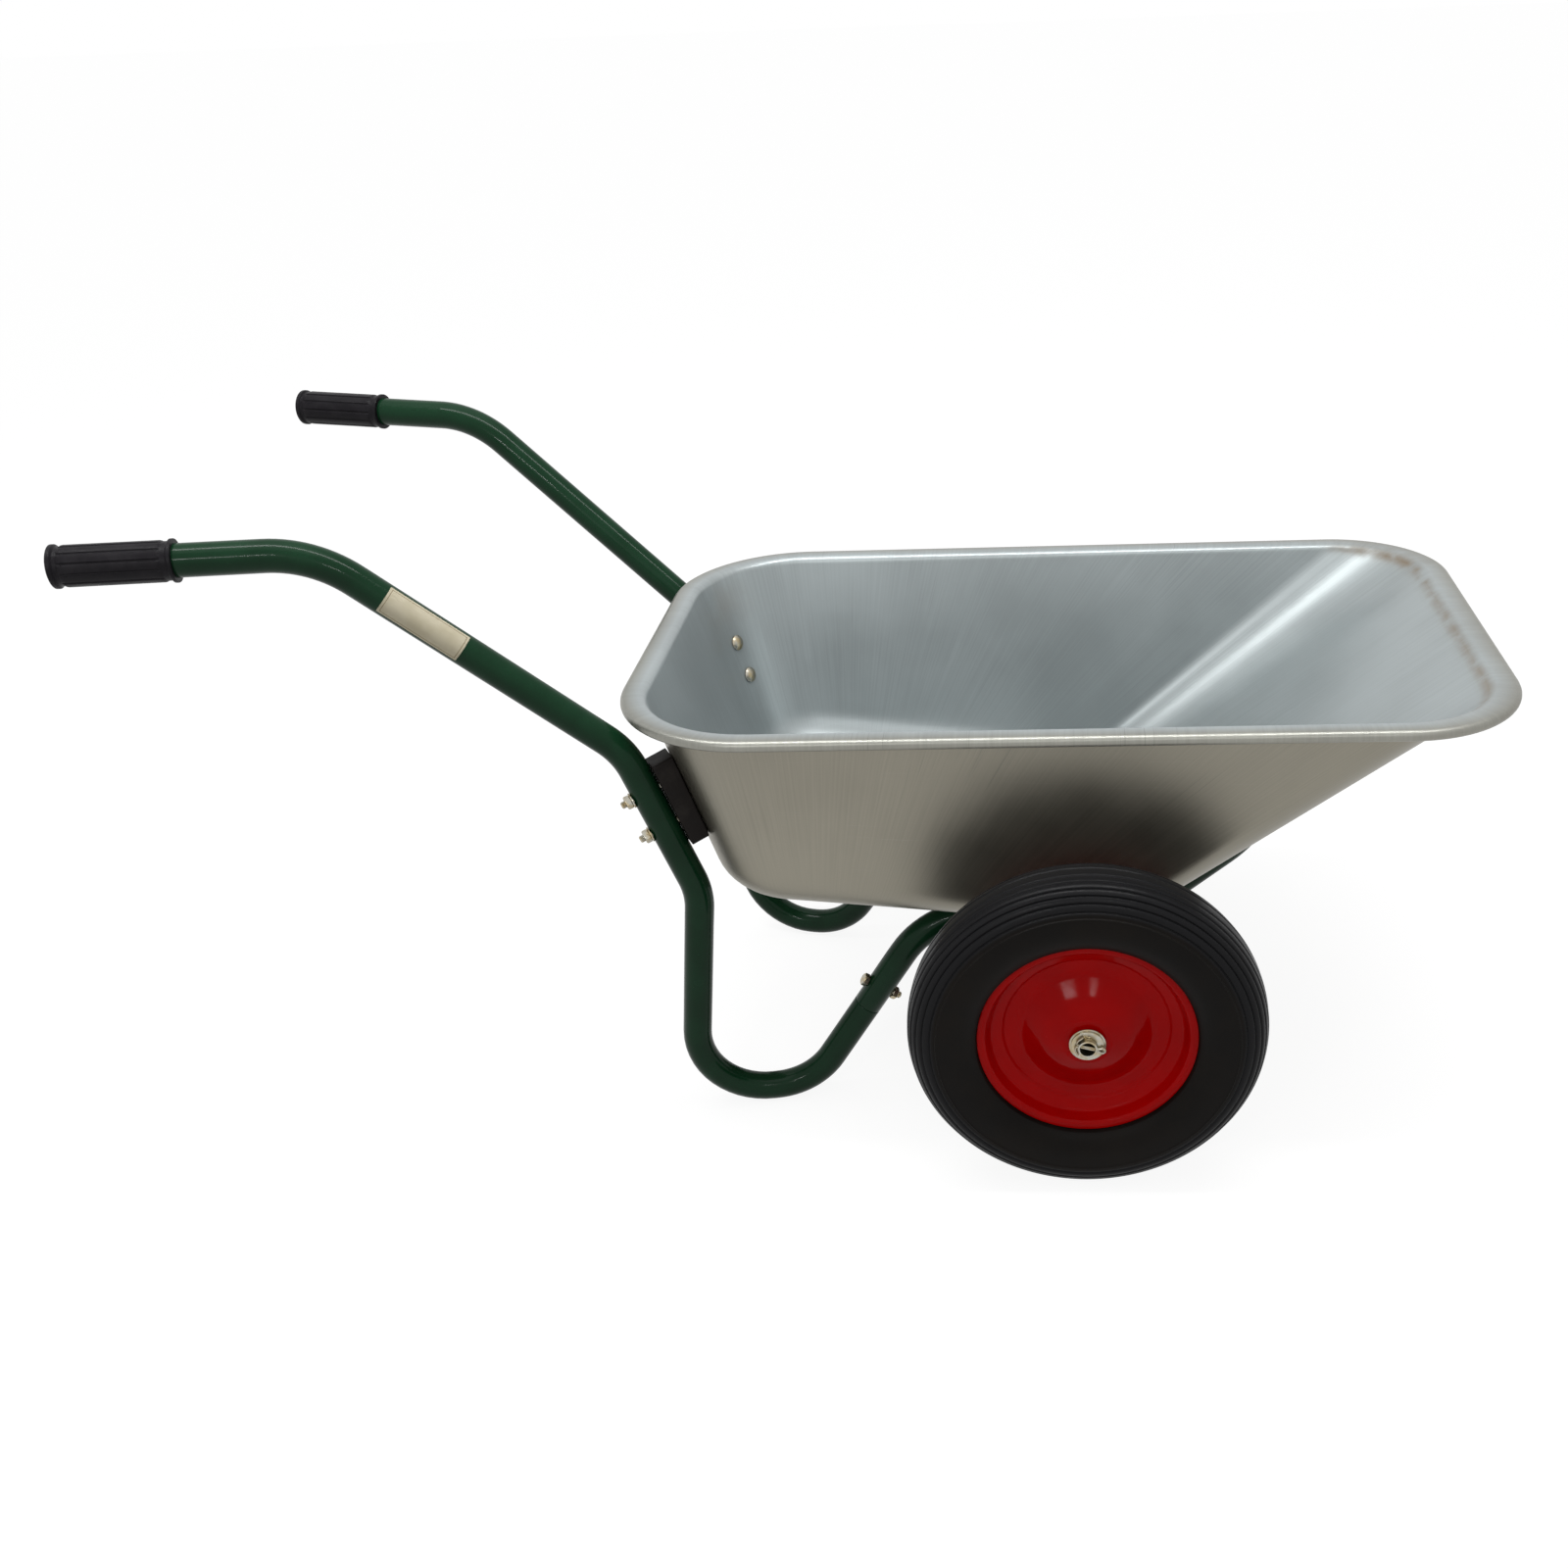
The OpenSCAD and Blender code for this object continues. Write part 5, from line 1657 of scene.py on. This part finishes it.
    def pins(self) -> None:
        """Split pins: a wire folded into an eye, through the axle, with its two legs bent apart round it."""
        wire = self.pin_d * self.pin_wire_share
        half = self.radius + self.pin_d / 2
        eye = self.pin_d * self.pin_eye_share
        reach = np.array([-np.cos(self.pin_turn), 0.0, np.sin(self.pin_turn)])
        swing = np.array([np.sin(self.pin_turn), 0.0, np.cos(self.pin_turn)])
        tip = np.multiply(half, self.pin_tip_shares)
        leg = np.array([tip, [half, half * self.pin_leg_share], [half, wire], [-half, wire],
                        [-half - eye, eye]])
        fold = [[-half - self.pin_eye_l_share * eye, 0.0]]
        shape = np.concatenate([leg, fold, leg[::-1] * np.array([1.0, -1.0])])
        bends = np.array([*self.pin_bends, self.pin_eye_bend, *self.pin_bends[::-1]])
        section = circle(self.pin_sides) * np.array([self.pin_flat, 1.0])
        patches = []
        for points in solids("split_pins"):
            y = (points[:, 1].min() + points[:, 1].max()) / 2
            corners = np.array([self.axle[0], y, self.axle[2]]) + shape[:, :1] * reach + shape[:, 1:] * swing
            line, tangents = rounded_path(corners, bends, self.pin_steps)
            patches.append(grid_patch(carried(section, line, tangents, ACROSS, np.full(len(line), wire))))
        frame_piece("split_pin_pair", Slot.ZINC, "split_pins").make(patches, ZINC)


@dataclass
class Wheel:
    """One wheel: tyre, two pressed rim halves and the valve.

    Angles are measured round the tyre's section from its crown. The trough's points are distances from the
    seat's inner face and from the wheel's middle plane.
    """

    axle: Array
    side: Side
    track: float = 0.628
    wheel_r: float = 0.1875
    tyre_w: float = 0.080
    tyre_wall: float = 0.007
    section_power: float = 2.6
    section_step: float = 0.6
    groove_d: float = 0.0011
    groove_deg: float = 2.6
    crown_d: float = 0.0005
    rib_deg: float = 13.2
    ribs: int = 6
    rib_slack: float = 0.02
    tread_fade_deg: float = 6.0
    ring_deg: float = 82.0
    ring_half_deg: float = 1.0
    ring_rise: float = 0.0010
    lining_deg: float = 128.0
    lining_step: float = 8.0
    angle_slack: float = 0.1
    bead_deg: float = 137.0
    bead_rise: float = 0.0055
    bead_gap: float = 0.0003
    bead_top: float = 0.0004
    bead_side: float = 0.0075
    bead_heel: float = 0.0026
    bead_heel_share: float = 0.2
    rim_r: float = 0.114
    seat_r: float = 0.101
    rim_w: float = 0.050
    rim_t: float = 0.002
    flange_edge: tuple[float, float] = (0.0004, 0.0003)
    flange_root: float = 0.0065
    trough: tuple[tuple[float, float], ...] = ((0.0015, 0.0105), (-0.0105, 0.0062), (-0.0135, 0.0024))
    foot_r: float = 0.070
    cone: tuple[float, float] = (0.046, 0.0185)
    boss_r: float = 0.026
    rim_bends: tuple[float, ...] = (0.0, 0.0003, 0.005, 0.006, 0.0035, 0.003, 0.018, 0.05, 0.006, 0.0)
    hub_l: float = 0.056
    hub_r: float = 0.017
    boss_drop: float = 0.0015
    valve_r: float = 0.004
    valve_l: float = 0.030
    valve_core: float = 0.0008
    valve_top: float = 0.0003
    cap_rise: float = 0.0008
    cap_l: float = 0.010
    cap_foot: tuple[float, float] = (0.0006, 0.0008)
    cap_edge: tuple[float, float] = (0.0004, 0.0008)
    valve_sides: int = 48
    sides: int = 192

    def build(self) -> None:
        """Builds the wheel's visible pieces."""
        self.tyre()
        self.rims()
        self.valve()

    def middle(self) -> Array:
        """Middle of the wheel."""
        return self.axle + ACROSS * self.side.value * self.track / 2

    def piece(self, name: str, slot: Slot, node: str) -> Piece:
        """A piece that rides on this wheel."""
        word = self.side.word
        return Piece(f"{word}_{name}", slot, f"wheel_{word}", (f"{node}_{word}",))

    def section(self, degrees: Array, inset: Array) -> Array:
        """Points of the tyre's section: a rounded oval of the section's power about its own middle.

        Args:
            degrees: Angles from the crown.
            inset: Distance inside the outer skin.

        Returns:
            Distances from the axle and from the middle plane.
        """
        middle = (self.wheel_r + self.seat_r + self.bead_rise) / 2
        a = np.radians(degrees)
        power = 2 / self.section_power
        r = np.sign(np.cos(a)) * np.abs(np.cos(a)) ** power
        y = np.sign(np.sin(a)) * np.abs(np.sin(a)) ** power
        return np.stack([middle + (self.wheel_r - middle - inset) * r, (self.tyre_w / 2 - inset) * y], axis=1)

    def tyre(self) -> None:
        """The casing: the rounded oval with crowned ribs, narrow grooves, a raised mould ring and the bead.

        The ribs lie at even angles from the crown. Each is lowered towards the groove beside it by the
        square of the distance from the rib's middle, and the groove is a smooth notch.
        """
        degrees = np.arange(-self.bead_deg, self.bead_deg + self.angle_slack, self.section_step)
        from_rib = np.abs((degrees / self.rib_deg + 0.5) % 1 - 0.5) * self.rib_deg
        from_groove = self.rib_deg / 2 - from_rib
        from_ring = np.abs(np.abs(degrees) - self.ring_deg)
        ribbed = np.abs(degrees) < (self.ribs + self.rib_slack) * self.rib_deg
        inset = self.groove_d * (1 - eased(from_groove / self.groove_deg)) * ribbed
        inset = inset + self.crown_d * (2 * from_rib / self.rib_deg) ** 2 * ribbed
        inset = inset - self.ring_rise * (1 - eased(from_ring / self.ring_half_deg))
        skin = self.section(degrees, inset)
        inner = np.arange(self.lining_deg, -self.lining_deg - self.angle_slack, -self.lining_step)
        lining = self.section(inner, np.array(self.tyre_wall))
        flank = self.rim_w / 2 - self.rim_t - self.bead_gap
        bead = np.array([[self.rim_r + self.bead_top, flank], [self.seat_r + self.bead_side, flank],
                         [self.seat_r + self.bead_heel, self.rim_w * self.bead_heel_share]])
        outline = np.concatenate([skin, bead, lining, bead[::-1] * np.array([1.0, -1.0])])
        grid = lathe(outline, self.middle(), ACROSS * self.side.value, self.sides)
        # The tread mark: lower roughness on the crown and its painted sheen colour.
        tread = np.zeros(len(outline))
        tread[:len(skin)] = eased((self.ribs * self.rib_deg - np.abs(degrees)) / self.tread_fade_deg)
        marks = {"tread": np.tile(tread, (self.sides, 1))}
        self.piece("ribbed_tyre", Slot.TYRE, "tyre").make([grid_patch(grid, closed=True)], TYRE, marks)

    def rims(self) -> None:
        """Two rim halves: one rounded line from the flange through the trough and up the cone to the hub."""
        flange_y = self.rim_w / 2
        face_r = self.seat_r - self.rim_t
        boss_y = self.hub_l / 2 - self.boss_drop
        edge_r, edge_y = self.flange_edge
        corners = [(self.rim_r, flange_y - edge_y), (self.rim_r - edge_r, flange_y),
                   (face_r + self.flange_root, flange_y), *((face_r + r, y) for r, y in self.trough),
                   (self.foot_r, self.rim_t), self.cone, (self.boss_r, boss_y), (self.hub_r, boss_y)]
        outline = thickened(flat_path(corners, self.rim_bends), self.rim_t)
        for name, sign in (("outer", 1), ("inner", -1)):
            grid = lathe(outline, self.middle(), ACROSS * self.side.value * sign, self.sides)
            piece = self.piece(f"{name}_rim_half", Slot.RED, f"rim_{name}")
            piece.make([grid_patch(grid, closed=True)], RED)

    def valve(self) -> None:
        """The valve: a turned stem with a wider cap."""
        points = solids(f"valve_{self.side.word}")[0] - self.axle
        direction = unit(points.mean(axis=0) * (AHEAD + UP))
        origin = self.axle + ACROSS * points[:, 1].mean()
        low, top = self.seat_r - self.valve_l, (points @ direction).max()
        cap_r, cap_top = self.valve_r + self.cap_rise, low + self.cap_l
        (foot_r, foot_y), (edge_r, edge_y) = self.cap_foot, self.cap_edge
        profile = np.array([[self.valve_core, low], [cap_r - foot_r, low], [cap_r, low + foot_y],
                            [cap_r, cap_top - edge_y], [cap_r - edge_r, cap_top], [self.valve_r, cap_top],
                            [self.valve_r, top - self.valve_top], [self.valve_core, top]])
        grid = lathe(profile, origin, direction, self.valve_sides)
        self.piece("tube_valve", Slot.VALVE, "valve").make([grid_patch(grid)], SOFT_RUBBER)


@dataclass
class HiddenPieces:
    """Construction pieces that keep their own shape and only take a finish."""

    plain: tuple[tuple[str, Finish], ...] = (
        ("inner_tube", SOFT_RUBBER), ("hub_tube", RED), ("hub_bushes", BUSH),
    )

    def dress(self) -> None:
        """Gives each piece its finish."""
        for word, finish in self.plain:
            for side in Side:
                node = frame["nodes"][f"{word}_{side.word}"]
                node.data.materials.clear()
                node.data.materials.append(finish.material())
                log.info("%s keeps its shape", node.name)


def set_at(columns: Array, place: Triple) -> Matrix:
    """The matrix that gives an object its three axes, as columns, and its place."""
    return Matrix([[*row, at] for row, at in zip(columns, place)] + [[0, 0, 0, 1]])


@dataclass(frozen=True)
class Lamp:
    """A soft rectangular lamp that faces a point, with its long side leant from the level."""

    name: str
    place: Triple
    target: Triple
    lean: float
    size: tuple[float, float]
    power: float

    def build(self) -> None:
        """Sets the lamp in the scene, by the direction back from its target and the level square to it."""
        data = bpy.data.lights.new(self.name, "AREA")
        data.shape = "RECTANGLE"
        data.size, data.size_y = self.size
        data.energy = self.power
        back = unit(np.array(self.place) - np.array(self.target))
        level = unit(np.cross(ACROSS if back[2] > NEAR_UPRIGHT else UP, back))
        side = level * np.cos(self.lean) + np.cross(back, level) * np.sin(self.lean)
        axes = np.stack([side, np.cross(back, side), back], axis=1)
        linked(self.name, data).matrix_world = set_at(axes, self.place)


@dataclass
class Studio:
    """Pale floor, soft lamps and the camera at the photograph's viewing angle."""

    floor_half: float = 30.0
    floor_pale: Colour = (0.90, 0.90, 0.90)
    floor_dim: Colour = (0.36, 0.355, 0.34)
    floor_rough: float = 0.9
    floor_mix: float = 0.80
    floor_glow: float = 1.12
    white: Colour = (1.0, 1.0, 1.0)
    world_light: float = 0.36
    sun_power: float = 0.55
    sun_angle: float = 1.05
    eye: Triple = (0.21966, -1.7136, 1.1718)
    yaw: float = 0.0630
    pitch: float = 0.5155
    roll: float = -0.0384
    focal_px: float = 1663.0
    centre_px: tuple[float, float] = (974.4, 887.7)
    frame_px: float = 1600.0
    sensor_mm: float = 36.0
    lamps: tuple[Lamp, ...] = (
        Lamp("ceiling", (-0.05, -0.3, 2.6), (0.05, 0.0, 0.3), 0.0, (3.0, 0.22), 39.0),
        Lamp("front_left", (-0.88, -2.89, 1.81), (0.25, -0.3, 0.25), 0.50, (0.92, 0.048), 10.5),
        Lamp("front_right", (0.75, -2.93, 2.03), (0.25, -0.3, 0.25), -0.21, (0.47, 0.048), 5.3),
    )

    def build(self) -> None:
        """Builds the floor, the world, the lamps and the camera."""
        self.floor()
        self.world()
        for lamp in self.lamps:
            lamp.build()
        self.sun()
        self.camera()

    def sun(self) -> None:
        """A broad soft light from above, even over the whole floor."""
        data = bpy.data.lights.new("overhead", "SUN")
        data.energy = self.sun_power
        data.angle = self.sun_angle
        linked("overhead", data)

    def floor(self) -> None:
        """A flat floor, white to the eye and in reflections but for shadows, and a dimmer grey as light."""
        h = self.floor_half
        mesh = bpy.data.meshes.new("floor")
        mesh.from_pydata([(-h, -h, 0), (h, -h, 0), (h, h, 0), (-h, h, 0)], [], [(0, 1, 2, 3)])
        floor = linked("floor", mesh)
        shader = Shader("pale floor")
        seen = shader.seen()
        colour = shader.blend(seen, self.floor_dim, self.floor_pale)
        shader.dress(Base_Color=colour, Roughness=self.floor_rough, Specular_IOR_Level=0.0)
        glow = shader.node("ShaderNodeEmission", {"Color": self.white, "Strength": self.floor_glow})
        inputs = {0: shader.times(seen, self.floor_mix), 1: shader.surface.outputs[0], 2: glow.outputs[0]}
        mixed = shader.node("ShaderNodeMixShader", inputs)
        shader.feed(shader.tree.nodes["Material Output"].inputs["Surface"], mixed.outputs[0])
        mesh.materials.append(shader.material)

    def world(self) -> None:
        """A world that is white to the eye and in reflections, and a soft grey as light."""
        world = bpy.data.worlds.new("studio")
        bpy.context.scene.world = world
        nodes = NodeTree(world)
        strength = nodes.node("ShaderNodeMapRange", {"Value": nodes.seen(), "To Min": self.world_light})
        background = nodes.tree.nodes["Background"].inputs
        nodes.feed(background["Strength"], strength.outputs["Result"])
        nodes.feed(background["Color"], self.white)

    def camera(self) -> None:
        """A camera with the fitted place, turn, focal length and shift."""
        cy, sy = np.cos(self.yaw), np.sin(self.yaw)
        cp, sp = np.cos(self.pitch), np.sin(self.pitch)
        cr, sr = np.cos(self.roll), np.sin(self.roll)
        forward = np.array([-sy * cp, cy * cp, -sp])
        right = np.array([cy, sy, 0.0])
        upper = np.cross(right, forward)
        axes = np.stack([cr * right + sr * upper, cr * upper - sr * right, -forward], axis=1)
        data = bpy.data.cameras.new("eye")
        data.sensor_width = self.sensor_mm
        data.lens = self.focal_px / self.frame_px * self.sensor_mm
        data.shift_x = 0.5 - self.centre_px[0] / self.frame_px
        data.shift_y = self.centre_px[1] / self.frame_px - 0.5
        eye = linked("eye", data)
        eye.matrix_world = set_at(axes, self.eye)
        bpy.context.scene.camera = eye
        bpy.context.scene.view_settings.view_transform = "Standard"


def axle_middle() -> Array:
    """Middle of the axle, from the wheels' joints."""
    places = np.array([joint["pos_m"] for joint in frame["joints"]])
    return places.mean(axis=0)


def main() -> None:
    """Builds every sub-assembly in order."""
    logging.basicConfig(level=logging.INFO, format="%(name)s: %(message)s")
    axle = axle_middle()
    lines = FrameLines(axle)
    fasteners = Fasteners()
    Studio().build()
    Tray(axle).build()
    Tubes(lines).build()
    Grips(lines).build()
    SpacerBlocks(lines).build()
    fasteners.build()
    AxleSet(axle, lines, fasteners).build()
    for side in Side:
        Wheel(axle, side).build()
    HiddenPieces().dress()


if __name__ == "__main__":
    main()
